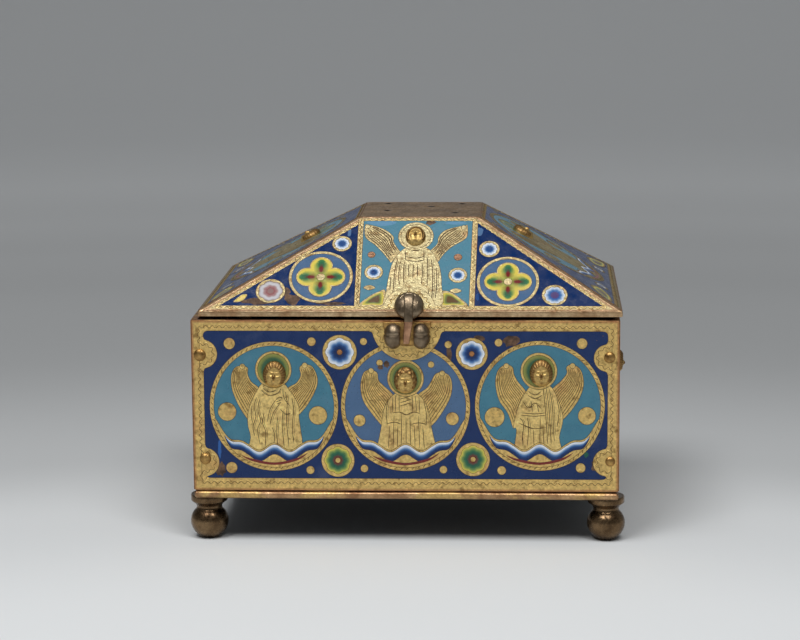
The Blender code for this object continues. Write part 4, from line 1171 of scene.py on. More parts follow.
lidFrontSetup = {
    "edges": (0.2, 0.9, 0.3, 0.9),
    "bars": (((-20.2, 1.0), (-20.2, 45.0)), ((23.7, 1.0), (24.6, 45.0))),
    "barWidth": 1.9, "barEnds": (0.02, 0.06),  # shares of its length: its point, and where the tooling starts
    "borders": (2.6, 2.9, 2.3, 2.9),
    "roundels": ((-34.7, 16.3, 12.3), (37.5, 14.1, 11.9)),
    "rosettes": ((-27.2, 32.5, 3.7, "small"), (-53.7, 9.5, 5.6, "broken"), (30.2, 29.9, 3.9, "small"),
                 (55.4, 7.7, 4.8, "red"), (-14.3, 18.6, 3.5, "small"), (18.2, 17.2, 3.5, "small")),
    "dots": ((-15.5, 27.1, 1.4), (18.1, 25.9, 1.5)),
    "lozenges": ((-15.7, 11.2), (17.5, 9.7)),
    "collar": (-0.1, 1.2, 9.9),
    "losses": ((-58.5, 4.6, 6.5, 2.0, "bare", "dust"), (-45.5, 5.6, 3.6, 3.2, "bare", "dust"),
               (-30.0, 3.6, 7.0, 1.0, "bare", "dust"), (-47.5, 9.0, 1.8, 2.6, "bare", "dust")),
    "panelLoss": ((7.0, 43.0, 2.6, 1.8, "bare", "bareMetal"),),
    "lossSeed": 51, "glareSeed": 61, "panelLossSeed": 77, "specks": ((-70, 3, 70, 40), 40, 71),
    "glare": ((-12.0, 42.8, 7.0, 1.6, "paleBlue"), (16.5, 42.6, 5.0, 0.9, "paleBlue"),
              (26.4, 38.5, 1.6, 2.6, "paleBlue"), (25.8, 6.6, 0.9, 2.4, "midBlue"),
              (-24.6, 38.0, 0.9, 2.6, "paleBlue"), (33.5, 4.4, 3.6, 1.0, "midBlue")),
    "glareShare": 0.45,
    "cornerLeaves": {
        "leafLeft": ([(-19.4, 2.6), (-15.7, 6.8), (-12.0, 9.2), (-9.6, 9.8), (-9.6, 2.8), (-14.5, 2.5)],
                     ("yellow", "leafGreen", "oxblood")),
        "leafRight": ([(22.2, 2.6), (19.0, 6.3), (15.6, 9.0), (12.0, 9.2), (11.6, 2.8), (16.5, 2.5)],
                      ("yellow", "leafGreen", "oxblood")),
        "leafFar": ([(-67.6, 4.4), (-64.6, 7.6), (-62.6, 7.6), (-64.4, 4.8)], ("yellow", "gold")),
    },
    "lozenge": (2.2, 1.1), "feathers": {"bow": (0.12, 0.24), "count": 6, "first": 0.38, "last": 0.88,
                                        "line": 0.36},
    "foldWeight": 1.3, "haloLine": (0.86, 0.22), "collarFillet": 1.2, "collarLine": 0.80, "ring": 0.85,
}
lidPaintedShade = (0.54, 0.62, 0.88)  # painted shade: the lid's gilt colours are darkened, red most and blue least, to offset the stronger light the lid gets from above


def slopeOutline(side):
    low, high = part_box("lid")
    drift = 0.0
    half, topHalf = (high.y - low.y) / 2 / mm, lidShape["topDepth"] / 2
    if side in ("front", "back"):
        half, topHalf = (high.x - low.x) / 2 / mm, lidShape["topWidth"] / 2
        drift = lidShape["topCentre"] - (low.x + high.x) / 2 / mm
    if side == "back":
        drift = -drift
    length = planes["lid" + side.capitalize()]["length"]
    slope = [(-half, 0.0), (half, 0.0), (drift + topHalf, length), (drift - topHalf, length)]
    return insetOutline(slope, lidFrontSetup["edges"])


def makeSlopeSkin(side, borders):
    skin = newSkin(slopeOutline(side), lidPaintedShade)
    gaps = [gap - edge for gap, edge in zip(borders, lidFrontSetup["edges"])]
    skin["wriggles"].append(layBorder(skin, gaps))
    field = insetOutline(skin["outline"], gaps)
    layField(skin, field, "night")
    return skin, field


def makeLidFrontSkin():
    setup = lidFrontSetup
    skin, field = makeSlopeSkin("front", setup["borders"])
    (a, b), (c, d) = setup["bars"]
    panel = clipped([a, c, d, b], field)
    layLosses(skin, setup["losses"], setup["lossSeed"], field)
    laySpecks(skin, *setup["specks"])
    lay(skin, panel, "enamel", colours["panel"], "panel")
    for i, (u, v, wide, high, colour) in enumerate(setup["glare"]):
        spots = clipped(ragged((u, v), wide, high, i + setup["glareSeed"]), field)
        ground = colours["panel"] if c[0] > u > a[0] else colours["night"]
        lay(skin, spots, "enamel", between(ground, colours[colour], setup["glareShare"]), f"glare {i}")
    layLosses(skin, setup["panelLoss"], setup["panelLossSeed"], field)
    for first, second in setup["bars"]:
        point, margin = setup["barEnds"]
        line = [first, between(first, second, point), between(first, second, 1 - point), second]
        layGold(skin, clipped(strokeAlong(line, setup["barWidth"]), skin["outline"]))
        skin["wriggles"].append([between(first, second, margin), between(first, second, 1 - margin)])
    layMotifs(skin, setup, setup["ring"], "copper")
    wide, high = setup["lozenge"]
    for u, v in setup["lozenges"]:
        layGold(skin, curveThrough([(u - wide, v), (u, v + high), (u + wide, v), (u, v - high)], 4,
                                   closed=True))
    for cell, (line, tones) in setup["cornerLeaves"].items():
        layLeaf(skin, line, [colours[name] for name in tones], cell)
    for inner, outer in lidAngel["wings"]:
        layWing(skin, inner, outer, (0.0, 0.0), 1.0, setup["feathers"])
    layGold(skin, curveThrough(lidAngel["robe"], 4, closed=True), "paleGold")
    layFolds(skin, lidAngel["folds"], (0.0, 0.0), 1.0, setup["foldWeight"])
    u, v, radius = lidAngel["halo"]
    share, width = setup["haloLine"]
    layGold(skin, disc((u, v), radius), "paleGold")
    layCutRing(skin, (u, v), radius * share, width, "paleGold")
    u, v, radius = setup["collar"]
    layGold(skin, filletedDisc(setup["borders"][0], (u, v), radius, setup["collarFillet"], (0, 1)),
            "paleGold")
    skin["wriggles"].append(arc((u, v), radius * setup["collarLine"], 0.0, math.pi, 40))
    return skin


lidEndSetup = {
    "medallion": {"left": ("right", (0.0, 33.6)), "right": ("left", (0.0, 33.0))},
    "radius": 26.4,
    "borders": (3.6, 3.2, 2.6, 3.2),
    "rosettes": ((-21.4, 8.4, 3.0, "small"), (21.4, 8.4, 3.0, "small")),
    "leaves": ([(-48.0, 5.0), (-43.0, 11.0), (-36.0, 13.6), (-29.0, 10.4), (-34.0, 6.0), (-41.0, 4.6)],
               [(48.0, 5.0), (43.0, 11.0), (36.0, 13.6), (29.0, 10.4), (34.0, 6.0), (41.0, 4.6)]),
    "dots": ((-18.5, 56.8, 1.2), (18.5, 56.8, 1.2), (-33.5, 27.5, 1.2), (33.5, 27.5, 1.2)),
    "specks": {"left": ((-35, 4, 35, 50), 34, 81), "right": ((-35, 4, 35, 50), 34, 83)},
}
lidBackSetup = {
    "roundels": ((0.0, 22.6, 14.5), (-36.5, 15.4, 11.0), (33.9, 15.4, 11.0)),
    "rosettes": ((-19.8, 36.8, 3.2, "blue"), (17.4, 36.8, 3.2, "blue"), (-57.5, 8.4, 4.2, "green"),
                 (55.2, 8.4, 4.2, "green")),
    "dots": ((-20.0, 7.2, 1.4), (18.6, 7.2, 1.4)),
    "specks": ((-60, 4, 60, 40), 40, 91),
}


def makeLidEndSkin(side):
    setup = lidEndSetup
    skin, _ = makeSlopeSkin(side, setup["borders"])
    laySpecks(skin, *setup["specks"][side])
    name, centre = setup["medallion"][side]
    layAngelMedallion(skin, name, centre, "sea", setup["radius"])
    layMotifs(skin, setup, lidFrontSetup["ring"])
    return skin


def makeLidBackSkin():
    skin, _ = makeSlopeSkin("back", lidFrontSetup["borders"])
    laySpecks(skin, *lidBackSetup["specks"])
    layMotifs(skin, lidBackSetup, lidFrontSetup["ring"])
    return skin


skins = {
    "front": ("enamel_front", "box", makeFrontSkin()),
    "back": ("enamel_back", "box", makeBackSkin()),
    "left": ("enamel_left", "box", makeEndSkin(41)),
    "right": ("enamel_right", "box", makeEndSkin(43)),
    "lidFront": ("enamel_lid_front", "lid", makeLidFrontSkin()),
    "lidBack": ("enamel_lid_back", "lid", makeLidBackSkin()),
    "lidLeft": ("enamel_lid_left", "lid", makeLidEndSkin("left")),
    "lidRight": ("enamel_lid_right", "lid", makeLidEndSkin("right")),
}
for side, (name, body, skin) in skins.items():
    piece = buildSkin(name, skin, planes[side])
    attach(piece, body)
print("enamelled skins built")


# tooling that repeats: built with Geometry Nodes

wriggleSteps = 6  # points on one wave of the tooled line


def newTree(name, sockets):
    tree = bpy.data.node_groups.new(name, "GeometryNodeTree")
    for label, kind in (("Geometry", "Geometry"), *sockets, ("Material", "Material")):
        tree.interface.new_socket(label, in_out="INPUT", socket_type="NodeSocket" + kind)
    tree.interface.new_socket("Geometry", in_out="OUTPUT", socket_type="NodeSocketGeometry")
    return tree, addNode(tree, "NodeGroupInput")


def closeTree(tree, given, geometry, smooth=False):  # real geometry in its material
    real = addNode(tree, "GeometryNodeRealizeInstances", None, {"Geometry": geometry})["Geometry"]
    if smooth:
        real = addNode(tree, "GeometryNodeSetShadeSmooth", None, {"Geometry": real})["Geometry"]
    feeds = {"Geometry": real, "Material": given["Material"]}
    painted = addNode(tree, "GeometryNodeSetMaterial", None, feeds)["Geometry"]
    addNode(tree, "NodeGroupOutput", None, {"Geometry": painted})
    return tree


def namedField(tree, name, kind):
    return addNode(tree, "GeometryNodeInputNamedAttribute", {"Name": name}, data_type=kind)["Attribute"]


def pathFields(tree):  # sideways in the plate's own plane, along the path, and outwards
    along = addNode(tree, "GeometryNodeInputTangent")[0]
    outward = namedField(tree, "outward", "FLOAT_VECTOR")
    sideways = addNode(tree, "ShaderNodeVectorMath", None, {0: outward, 1: along},
                       operation="CROSS_PRODUCT")[0]
    return sideways, along, outward


def resampled(tree, given, length):
    curve = addNode(tree, "GeometryNodeMeshToCurve", None, {"Mesh": given["Geometry"]})["Curve"]
    feeds = {"Curve": curve, "Length": length}
    return addNode(tree, "GeometryNodeResampleCurve", None, feeds, mode="LENGTH")["Curve"]


def copiesOn(tree, points, instance, rotation, scale=None):
    feeds = {"Points": points, "Instance": instance, "Rotation": rotation}
    if scale:
        feeds["Scale"] = scale
    return addNode(tree, "GeometryNodeInstanceOnPoints", None, feeds)["Instances"]


def wriggleTree():
    tree, given = newTree("wriggle line", (
        ("Pitch", "Float"), ("Swing", "Float"), ("Line Radius", "Float"), ("Offset", "Float")))

    def maths(operation, *terms):
        inputs = {i: term for i, term in enumerate(terms) if isinstance(term, float)}
        feeds = {i: term for i, term in enumerate(terms) if i not in inputs}
        return addNode(tree, "ShaderNodeMath", inputs, feeds, operation=operation)[0]

    line = resampled(tree, given, maths("MULTIPLY", given["Pitch"], 1 / wriggleSteps))
    sideways, _, _ = pathFields(tree)
    index = addNode(tree, "GeometryNodeInputIndex")[0]
    wave = maths("SINE", maths("MULTIPLY", index, math.tau / wriggleSteps))
    swing = maths("MULTIPLY_ADD", wave, given["Swing"], given["Offset"])
    shift = addNode(tree, "ShaderNodeVectorMath", None, {0: sideways, "Scale": swing}, operation="SCALE")[0]
    bent = addNode(tree, "GeometryNodeSetPosition", None, {"Geometry": line, "Offset": shift})["Geometry"]
    profile = addNode(tree, "GeometryNodeCurvePrimitiveCircle", {"Resolution": 4},
                      {"Radius": given["Line Radius"]})["Curve"]
    wire = addNode(tree, "GeometryNodeCurveToMesh", {"Fill Caps": True},
                   {"Curve": bent, "Profile Curve": profile})["Mesh"]
    return closeTree(tree, given, wire)


def tickTree():
    tree, given = newTree("slanted ticks", (("Pitch", "Float"), ("Tick Size", "Vector"), ("Slant", "Float")))
    line = resampled(tree, given, given["Pitch"])
    sideways, along, outward = pathFields(tree)
    feeds = {0: sideways, "Scale": given["Slant"]}
    lean = addNode(tree, "ShaderNodeVectorMath", None, feeds, operation="SCALE")[0]
    slanted = addNode(tree, "ShaderNodeVectorMath", None, {0: lean, 1: along}, operation="ADD")[0]
    turn = addNode(tree, "FunctionNodeAxesToRotation", None, {0: outward, 1: slanted},
                   primary_axis="Z", secondary_axis="X")[0]
    tick = addNode(tree, "GeometryNodeMeshCube", None, {"Size": given["Tick Size"]})["Mesh"]
    return closeTree(tree, given, copiesOn(tree, line, tick, turn))


def studTree():
    tree, given = newTree("domed studs", (("Sides", "Int"), ("Rise", "Float")))
    outward = namedField(tree, "outward", "FLOAT_VECTOR")
    turn = addNode(tree, "FunctionNodeAlignRotationToVector", None, {"Vector": outward}, axis="Z")[0]
    dome = addNode(tree, "GeometryNodeMeshUVSphere", {"Rings": 12, "Radius": 1.0},
                   {"Segments": given["Sides"]})["Mesh"]
    squash = addNode(tree, "ShaderNodeCombineXYZ", {"X": 1.0, "Y": 1.0}, {"Z": given["Rise"]})[0]
    stud = addNode(tree, "GeometryNodeTransform", None, {"Geometry": dome, "Scale": squash})["Geometry"]
    copies = copiesOn(tree, given["Geometry"], stud, turn, namedField(tree, "width", "FLOAT"))
    return closeTree(tree, given, copies, smooth=True)


def runTree(name, tree, values, spots, edges, outward, widths=None):
    mesh = bpy.data.meshes.new(name)
    mesh.from_pydata(spots, edges, [])
    directions = mesh.attributes.new("outward", "FLOAT_VECTOR", "POINT")
    directions.data.foreach_set("vector", [c for n in outward for c in n])
    if widths:
        mesh.attributes.new("width", "FLOAT", "POINT").data.foreach_set("value", widths)
    made = addToScene(name, mesh)
    modifier = made.modifiers.new("nodes", "NODES")
    modifier.node_group = tree
    for item in tree.interface.items_tree:
        if item.in_out == "INPUT" and item.name in values:
            modifier[item.identifier] = values[item.name]
    made.update_tag()
    faceOut(bakedMesh(made))
    print(name, "has", len(made.data.polygons), "faces")
    return made


def bakedMesh(made):  # the modifier's result as the object's own mesh
    graph = bpy.context.evaluated_depsgraph_get()
    result = bpy.data.meshes.new_from_object(made.evaluated_get(graph))
    made.modifiers.clear()
    made.data = result
    return result


def faceOut(mesh):
    shape = bmesh.new()
    shape.from_mesh(mesh)
    bmesh.ops.recalc_face_normals(shape, faces=shape.faces[:])
    shape.to_mesh(mesh)
    shape.free()


wriggleSetup = {"Pitch": 2.6 * mm, "Swing": 0.50 * mm}
toolSetup = {
    "zigzag": {**wriggleSetup, "Line Radius": 0.15 * mm, "Offset": 0.0, "Material": materials["toolLine"]},
    # painted highlight: a bright copy of the zigzag, shifted sideways, standing for its lit side
    "zigzag_painted_highlight": {**wriggleSetup, "Line Radius": 0.13 * mm, "Offset": 0.30 * mm,
                     "Material": materials["paintedHighlightLine"]},
}
sunk = {"wriggles": 0.06, "ticks": 0.02}  # how deep the tooling's middle lies in the gilding, mm
tickSetup = {"Pitch": 2.2 * mm, "Tick Size": (1.25 * mm, 0.20 * mm, 0.12 * mm), "Slant": 0.8,
             "Material": materials["toolLine"]}


def pathMesh(body, key):
    height = finishes["gilt"] - sunk[key]
    spots, edges, outward = [], [], []
    for side, (_, rides, skin) in skins.items():
        if rides != body:
            continue
        for path in skin[key]:
            start = len(spots)
            spots += [onPlane(planes[side], u, v, height) for u, v in path]
            edges += [(i, i + 1) for i in range(start, len(spots) - 1)]
            outward += [planes[side]["out"]] * len(path)
    return spots, edges, outward


wriggles, ticks = wriggleTree(), tickTree()
for body in ("box", "lid"):
    made = [runTree(f"{name}_{body}", wriggles, values, *pathMesh(body, "wriggles"))
            for name, values in toolSetup.items()]
    made.append(runTree("ring_hatching_" + body, ticks, tickSetup, *pathMesh(body, "ticks")))
    for piece in made:
        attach(piece, body)

studs = studTree()
rivetSetup = {"values": {"Sides": 20, "Rise": 0.56, "Material": materials["brownGilt"]}, "lift": 0.05}
hingeStuds = {"values": {"Sides": 14, "Rise": 0.6, "Material": materials["copper"]}, "lift": 1.4,
              "radius": 0.95, "places": ((0.0, 13.6), (-3.4, 8.2), (3.4, 8.2))}


def makeStuds(name, setup, seats):  # each seat is a plane, a place on it and a radius
    spots = [onPlane(where, u, v, setup["lift"]) for where, u, v, _ in seats]
    outward = [where["out"] for where, _, _, _ in seats]
    return runTree(name, studs, setup["values"], spots, [], outward,
                   [radius * mm for _, _, _, radius in seats])


def makeRivets():
    nodes = {f"rivet_{face}_{corner}": planes[face] for face in ("front", "back") for corner in corners}
    seats = []
    for node, where in nodes.items():
        centre, half, _ = seatOf(node, where)
        seats.append((where, centre[0], centre[1], half[0]))
    piece = makeStuds("corner_rivets", rivetSetup, seats)
    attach(piece, "box")
    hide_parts(*nodes)


def makeHingeStuds():
    for body, key in (("box", "back"), ("lid", "lidBack")):
        seats = []
        for side in ("left", "right"):
            centre, _, _ = seatOf(f"hinge_{body}_{side}", planes[key])
            for u, distance in hingeStuds["places"]:
                v = distance if body == "lid" else wallHeight - distance
                seats.append((planes[key], centre[0] + u, v, hingeStuds["radius"]))
        piece = makeStuds("hinge_studs_" + body, hingeStuds, seats)
        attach(piece, body)


makeRivets()
makeHingeStuds()
print("tooling, rivets and studs built")


# cast pieces

def addObject(name, shape, material, smoothAngle=None):
    bmesh.ops.recalc_face_normals(shape, faces=shape.faces[:])
    mesh = bpy.data.meshes.new(name)
    shape.to_mesh(mesh)
    shape.free()
    mesh.materials.append(material)
    if smoothAngle:
        mesh.shade_smooth()
        mesh.set_sharp_from_angle(angle=math.radians(smoothAngle))
    return addToScene(name, mesh)


def addRings(shape, rings):
    loops = [[shape.verts.new(spot) for spot in ring] for ring in rings]
    count = len(loops[0])
    for lower, upper in zip(loops, loops[1:]):
        for i in range(count):
            shape.faces.new((lower[i], lower[(i + 1) % count], upper[(i + 1) % count], upper[i]))
    shape.faces.new(loops[0][::-1])
    shape.faces.new(loops[-1])
    return loops


footSetup = {
    "sides": 64, "steps": 24, "flat": 2.6, "ballTop": 13.4, "neck": 5.2, "sharpAngle": 50,
    "profile": ((5.05, 11.85), (4.95, 12.2), (4.95, 12.6), (5.1, 13.0), (5.45, 13.5), (6.0, 14.0),
                (6.6, 14.45),
                (7.05, 14.8), (7.15, 15.1), (7.15, 16.9), (6.95, 17.38)),
}


def makeFeet():
    setup = footSetup
    half = setup["ballTop"] / 2
    for place in ("front_left", "front_right", "back_left", "back_right"):
        node = "foot_" + place
        low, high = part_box(node)
        middle = Vector(((low.x + high.x) / 2, (low.y + high.y) / 2, 0.0))
        radius = (high.x - low.x) / 2 / mm
        start = math.acos(setup["flat"] / radius)
        end = math.acos(setup["neck"] / radius)
        profile = []
        for i in range(setup["steps"] + 1):
            turn = -start + (start + end) * i / setup["steps"]
            lift = math.sin(turn) / (math.sin(start) if turn < 0 else 1.0)
            profile.append((radius * math.cos(turn), half + half * lift))
        shape = bmesh.new()
        addRings(shape, [[middle + Vector((r * c, r * s, z)) * mm for c, s in circle(setup["sides"])]
                         for r, z in (*profile, *setup["profile"])])
        piece = addObject("ball_" + node, shape, materials["bronzeFoot"], setup["sharpAngle"])
        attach(piece, "box")
        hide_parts(node)


headSetup = {
    "sides": 84, "rings": 40, "seat": 0.1, "sharpAngle": 60,
    "reliefs": {"edge": 0.5, "weight": 2.2, "level": 0.07, "crown": 0.6},  # what the worn gilding goes by
    "places": {"front": ("head_front_left", "head_front_middle", "head_front_right"),
               "left": ("head_left_front", "head_left_back"),
               "right": ("head_right_front", "head_right_back"),
               "lidFront": ("head_lid_front",), "lidLeft": ("head_lid_left",),
               "lidRight": ("head_lid_right",)},
    "hair": {"head_front_left": ("cap", -6), "head_front_middle": ("curls", 2),
             "head_front_right": ("cap", 3),
             "head_lid_front": ("hood", 0)},
}
faceForms = (  # height, then middle and half sizes across and up; forms beside the middle are doubled
    (0.26, 0.0, -0.10, 0.09, 0.17), (0.10, 0.0, -0.22, 0.15, 0.07),  # nose
    (0.09, 0.26, 0.19, 0.20, 0.05), (-0.17, 0.26, 0.06, 0.16, 0.09), (0.10, 0.26, 0.05, 0.09, 0.045),  # eyes
    (-0.08, 0.0, -0.42, 0.20, 0.025), (0.07, 0.0, -0.36, 0.17, 0.035),  # mouth
    (0.07, 0.0, -0.49, 0.14, 0.04),
    (0.12, 0.0, -0.68, 0.18, 0.11), (0.05, 0.36, -0.22, 0.18, 0.20),  # chin and cheeks
)
hairShape = {"wide": 0.62, "high": 0.70, "drop": 0.12, "lowest": -0.62, "swirl": 0.15, "steepness": 5.0,
             "mass": 0.15, "band": 0.05, "bandLine": 1.12, "bandWidth": 0.08, "bandFrom": 0.1}
domeHeight = 0.80


def headRelief(u, v, hair):  # a calm, even face of general proportions; u and v run from -1 to 1
    r2 = min(1.0, u * u + v * v)
    shape = hairShape
    height = domeHeight * math.sqrt(1.0 - r2)
    hairline = (u / shape["wide"]) ** 2 + ((v + shape["drop"]) / shape["high"]) ** 2
    if hairline > 1.0 and v > shape["lowest"]:
        around = math.atan2(u, v + shape["swirl"])
        locks = {
            "cap": 0.035 * math.sin(26.0 * around),
            "curls": 0.07 * math.sin(13.0 * around) * math.cos(17.0 * math.sqrt(r2)),
            "hood": 0.04 * math.sin(30.0 * math.sqrt(r2)),
        }
        height += min(1.0, (hairline - 1.0) * shape["steepness"]) * (shape["mass"] + locks[hair])
    if hair == "cap" and v > shape["bandFrom"]:
        height += shape["band"] * math.exp(-(((hairline - shape["bandLine"]) / shape["bandWidth"]) ** 2))
    for rise, x, y, wide, high in faceForms:
        for middle in ((x, -x) if x else (x,)):
            height += rise * math.exp(-(((u - middle) / wide) ** 2) - (((v - y) / high) ** 2))
    return height


def makeHead(node, key):
    sides, rings, seat, reliefs = (headSetup[name] for name in ("sides", "rings", "seat", "reliefs"))
    where = planes[key]
    hair, tilt = headSetup["hair"].get(node, ("cap", 0))
    lean = math.radians(tilt)
    centre, half, top = seatOf(node, where)
    rise = (top[2] - seat) / max(headRelief(0.0, v / 20, hair) for v in range(-20, 21))
    shape = bmesh.new()
    verts, worn = [], []
    for step in range(rings + 1):  # the first ring is the foot of the edge
        share = math.sin(math.pi / 2 * (1 - (step - 1) / rings)) * 0.995 if step else 1.0
        dome = domeHeight * math.sqrt(max(0.0, 1 - share * share))
        ring = []
        for c, s in circle(sides):
            u, v = share * s, share * c
            relief = headRelief(u, v, hair)
            across = centre[0] + half[0] * (u * math.cos(lean) - v * math.sin(lean))
            up = centre[1] + half[1] * (u * math.sin(lean) + v * math.cos(lean))
            ring.append(shape.verts.new(onPlane(where, across, up, seat + rise * relief if step else seat)))
            above = reliefs["weight"] * (relief - dome - reliefs["level"])
            worn.append(reliefs["edge"] + (above if step else 0.0))
        verts.append(ring)
    crown = shape.verts.new(onPlane(where, centre[0], centre[1], seat + rise * headRelief(0.0, 0.0, hair)))
    worn.append(reliefs["crown"])
    for lower, upper in zip(verts, verts[1:]):
        for k in range(sides):
            shape.faces.new((lower[k], lower[(k + 1) % sides], upper[(k + 1) % sides], upper[k]))
    for k in range(sides):
        shape.faces.new((verts[-1][k], verts[-1][(k + 1) % sides], crown))
    shape.faces.new(verts[0])
    piece = addObject("cast_" + node, shape, materials["head"], headSetup["sharpAngle"])
    piece.data.attributes.new("relief", "FLOAT", "POINT").data.foreach_set("value", worn)
    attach(piece, "lid" if key.startswith("lid") else "box")
    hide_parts(node)


makeFeet()
for key, nodes in headSetup["places"].items():
    for node in nodes:
        makeHead(node, key)
print("feet and heads built")


# clasp

sharpAngle = 48  # degrees between faces that stay sharp, on the clasp


def joinCut(shape, spot, normal):  # cut with a plane and close the cut
    parts = shape.verts[:] + shape.edges[:] + shape.faces[:]
    cut = bmesh.ops.bisect_plane(shape, geom=parts, dist=1e-7, plane_co=spot, plane_no=normal,
                                 clear_outer=True)
    rim = [part for part in cut["geom_cut"] if isinstance(part, bmesh.types.BMEdge)]
    bmesh.ops.edgeloop_fill(shape, edges=rim)


def meshInto(target, source):
    spare = bpy.data.meshes.new("spare")
    source.to_mesh(spare)
    source.free()
    target.from_mesh(spare)
    bpy.data.meshes.remove(spare)


stapleSetup = {
    "slot": 5.3, "earWidth": 6.4, "earHeight": 10.4, "earReach": 4.3, "thickness": 1.2, "groove": 0.10,
    "seat": 0.1, "grooveLevel": 0.12, "grooveHalf": 0.09, "drop": 0.5,
    "edge": ((1.0, 0.62), (0.985, 0.86), (0.95, 1.0)),  # shares of the radius and of the thickness
}


def makeStaple():
    setup, where = stapleSetup, planes["front"]
    (middle, _, _), (radius, _, _), high = seatOf("clasp_staple", where)
    shape = bmesh.new()
    profile = [(1.0, setup["seat"]), *((share, setup["thickness"] * lift) for share, lift in setup["edge"])]
    rings = []
    for share, lift in profile:
        centre = (middle, high[1] - (1 - share) * radius * setup["drop"])
        rings.append([onPlane(where, u, v, lift) for u,
                      v in arc(centre, radius * share, math.pi, math.tau, 48)])
    addRings(shape, rings)
    for face in shape.faces:
        face.material_index = 1
    for hand in (-1, 1):
        ear = bmesh.new()
        inner = middle + hand * setup["slot"] / 2
        centre = onPlane(where, inner + hand * 0.40 * setup["earWidth"], high[1] - setup["earHeight"] / 2,
                         setup["seat"])
        size = Vector((0.60 * setup["earWidth"], setup["earReach"], setup["earHeight"] / 2)) * mm
        bmesh.ops.create_uvsphere(ear, u_segments=56, v_segments=40, radius=1.0)
        for vertex in ear.verts:
            level = (vertex.co.z - setup["grooveLevel"]) / setup["grooveHalf"]
            waist = 1.0 - math.exp(-(level ** 2)) * setup["groove"]
            vertex.co = centre + Vector((vertex.co.x * waist * size.x, vertex.co.y * waist * size.y,
                                         vertex.co.z * size.z))
        joinCut(ear, Vector((inner * mm, 0, 0)), Vector((-hand, 0, 0)))
        joinCut(ear, onPlane(where, 0, 0, setup["thickness"] / 2), Vector((0, 1, 0)))
        meshInto(shape, ear)
    piece = addObject("clasp_staple_cast", shape, materials["bronze"], sharpAngle)
    piece.data.materials.append(materials["brownGilt"])
    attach(piece, "box")
    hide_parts("clasp_staple")


haspSetup = {
    "x": 1.8, "height": 4.2, "radius": 5.7, "thickness": 6.8, "tilt": 38.0, "seat": 1.2, "fit": 0.15,
    "clearance": 0.6, "reach": 4.9, "tongueThickness": 1.8, "widths": (4.2, 2.4), "drift": -1.0, "drop": 8.3,
    "rise": 9.2, "bend": 4.4, "hook": 1.3, "bulge": 1.0, "steps": 8, "tongueSides": 20, "squareness": 0.6,
    "tongueFrom": 1.0, "lineRadius": 0.16,
    "lines": ([(-0.62, 0.30), (-0.30, 0.62), (0.10, 0.70), (0.45, 0.52)],
              [(-0.20, 0.36), (0.10, 0.44), (0.30, 0.22), (0.05, 0.05), (-0.22, 0.16)],
              [(-0.34, -0.12), (0.02, 0.02), (0.40, -0.14)], [(-0.40, -0.30), (0.02, -0.18), (0.46, -0.32)],
              [(-0.55, 0.05), (-0.42, -0.20)], [(0.60, 0.12), (0.54, -0.14)]),
}


def claspPoint(u, v, setup):  # a spot on the hasp's dome, u and v from -1 to 1
    low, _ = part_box("lid")
    centre = Vector((setup["x"], boxLow.y / mm + setup["seat"], low.z / mm + setup["height"]))
    tilt = math.radians(setup["tilt"])
    out = Vector((0.0, -math.cos(tilt), math.sin(tilt)))
    up = out.cross(Vector((1, 0, 0)))
    lift = math.sqrt(max(0.0, 1 - u * u - v * v)) * setup["thickness"] / 2
    return (centre + Vector((u * setup["radius"], 0, 0)) + up * v * setup["radius"] + out * lift) * mm, out


def alongLine(line):  # each spot of a line with the direction that the line has there
    for i, spot in enumerate(line):
        yield spot, (line[min(i + 1, len(line) - 1)] - line[max(i - 1, 0)]).normalized()


def tube(shape, line, radius, sides=6):  # thinner at both ends
    rings = []
    side = None
    for i, (spot, along) in enumerate(alongLine(line)):
        side = along.orthogonal() if side is None else side - along * side.dot(along)
        side.normalize()
        second = along.cross(side)
        size = radius * (0.4 if i in (0, len(line) - 1) else 1.0)
        rings.append([spot + (side * c + second * s) * size for c, s in circle(sides)])
    addRings(shape, rings)


def tonguePath(setup):
    lidLow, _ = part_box("lid")
    middle = boxLow.y / mm - setup["reach"] + setup["tongueThickness"] / 2
    bulge = lidLow.z / mm - setup["bulge"]
    end = boxHigh.z / mm - setup["drop"]
    spots = []
    for step in range(setup["steps"] + 1):
        turn = math.pi / 2 * (1 - step / setup["steps"])
        bend = setup["bend"] * (1 - math.cos(turn))
        spots.append(Vector((setup["x"], middle + bend, bulge + setup["rise"] * math.sin(turn))))
    for step in range(1, setup["steps"] + 1):
        share = step / setup["steps"]
        spots.append(Vector((setup["x"] + setup["drift"] * share, middle + setup["hook"] * share ** 2,
                             bulge + (end - bulge) * share)))
    return [spot * mm for spot in spots]


def haspDome(setup):  # the domed disc, cut off over the box and hollowed where the lid is
    dome = bmesh.new()
    centre, out = claspPoint(0, 0, setup)
    across = Vector((1, 0, 0))
    place = Matrix.Translation(centre - out * setup["thickness"] / 2 * mm)
    turn = Matrix((across, out.cross(across), out)).transposed().to_4x4()
    size = Matrix.Diagonal((setup["radius"] * mm, setup["radius"] * mm, setup["thickness"] / 2 * mm, 1.0))
    bmesh.ops.create_uvsphere(dome, u_segments=72, v_segments=48, radius=1.0, matrix=place @ turn @ size)
    joinCut(dome, Vector((0, 0, boxHigh.z + setup["clearance"] * mm)), Vector((0, 0, -1)))
    made = addObject("clasp_hasp_cast", dome, materials["bronze"], sharpAngle)
    where = planes["lidFront"]
    room = bmesh.new()
    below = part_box("lid")[0].z - 10 * mm
    front = boxLow.y - setup["fit"] * mm
    section = [(front, below), (front, where["origin"].z), tuple(onPlane(where, 0, 60, setup["fit"]).yz),
               (0.0, below)]
    addRings(room, [[Vector((x, y, z)) for y, z in section] for x in (-0.03, 0.03)])
    cutter = addObject("lid_room", room, materials["bronze"])
    cut = made.modifiers.new("room", "BOOLEAN")
    cut.operation = "DIFFERENCE"
    cut.solver = "EXACT"
    cut.object = cutter
    bakedMesh(made)
    bpy.data.objects.remove(cutter)
    return made


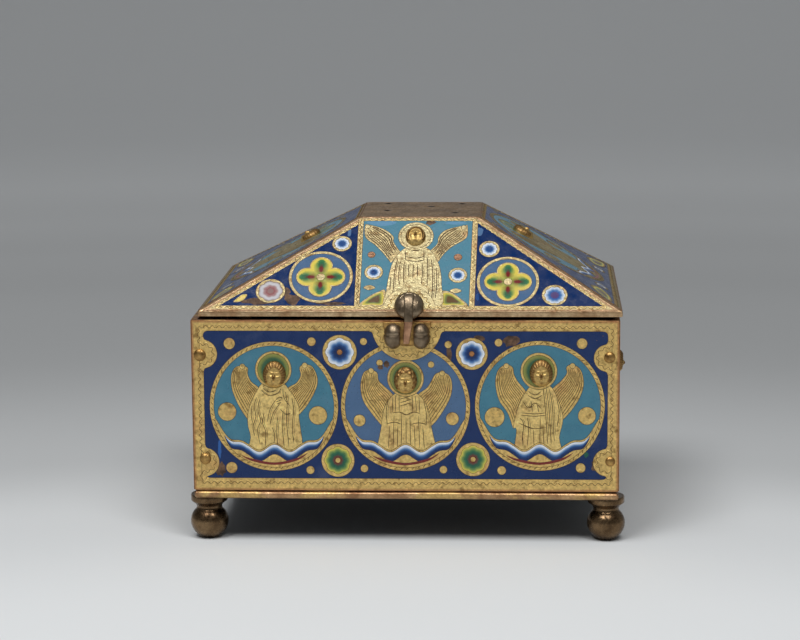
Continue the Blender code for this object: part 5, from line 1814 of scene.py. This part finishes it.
def tongueRings(setup, path):  # a rounded rectangle that narrows down the tongue
    rings = []
    start, end = setup["widths"]
    deep = setup["tongueThickness"] / 2 * mm
    for i, (spot, along) in enumerate(alongLine(path)):
        outward = Vector((0.0, along.z, -along.y)).normalized()
        if outward.y > 0:
            outward.negate()
        wide = (start + (end - start) * i / (len(path) - 1)) / 2 * mm
        ring = []
        for c, s in circle(setup["tongueSides"]):
            x, y = (math.copysign(abs(value) ** setup["squareness"], value) for value in (c, s))
            ring.append(spot + Vector((1, 0, 0)) * wide * x + outward * deep * y)
        rings.append(ring)
    return rings


def makeHasp():
    setup = haspSetup
    made = haspDome(setup)
    result = made.data
    shape = bmesh.new()
    shape.from_mesh(result)
    known = len(shape.faces)
    addRings(shape, tongueRings(setup, tonguePath(setup)))
    shape.faces.ensure_lookup_table()
    low = setup["tongueFrom"] * mm + boxHigh.z
    for face in shape.faces[known:]:
        face.material_index = 2 if face.calc_center_median().z < low else 0
    known = len(shape.faces)
    for line in setup["lines"]:
        tube(shape, [claspPoint(u, v, setup)[0] for u, v in curveThrough(line, 6)], setup["lineRadius"] * mm)
    shape.faces.ensure_lookup_table()
    for face in shape.faces[known:]:
        face.material_index = 1
    bmesh.ops.recalc_face_normals(shape, faces=shape.faces[:])
    shape.to_mesh(result)
    shape.free()
    result.shade_smooth()
    result.set_sharp_from_angle(angle=math.radians(sharpAngle))
    for finish in ("paleBronze", "tongue"):
        result.materials.append(materials[finish])
    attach(made, "lid")
    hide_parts("clasp_hasp")


makeStaple()
makeHasp()
print("clasp built")


# finishes of the plates and hinges that stay as they are

cadFinishes = {
    "front_plate": "copper", "back_plate": "copper", "left_plate": "copper", "right_plate": "copper",
    "bottom_plate": "giltSheet", "lid": "lidCopper", "hinge_box_left": "copper", "hinge_box_right": "copper",
    "hinge_lid_left": "copper", "hinge_lid_right": "copper", "hinge_pin_left": "bronze",
    "hinge_pin_right": "bronze",
}
for node, finish in cadFinishes.items():
    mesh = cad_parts[node].data
    mesh.materials.clear()
    mesh.materials.append(materials[finish])
print("plates and hinges finished")
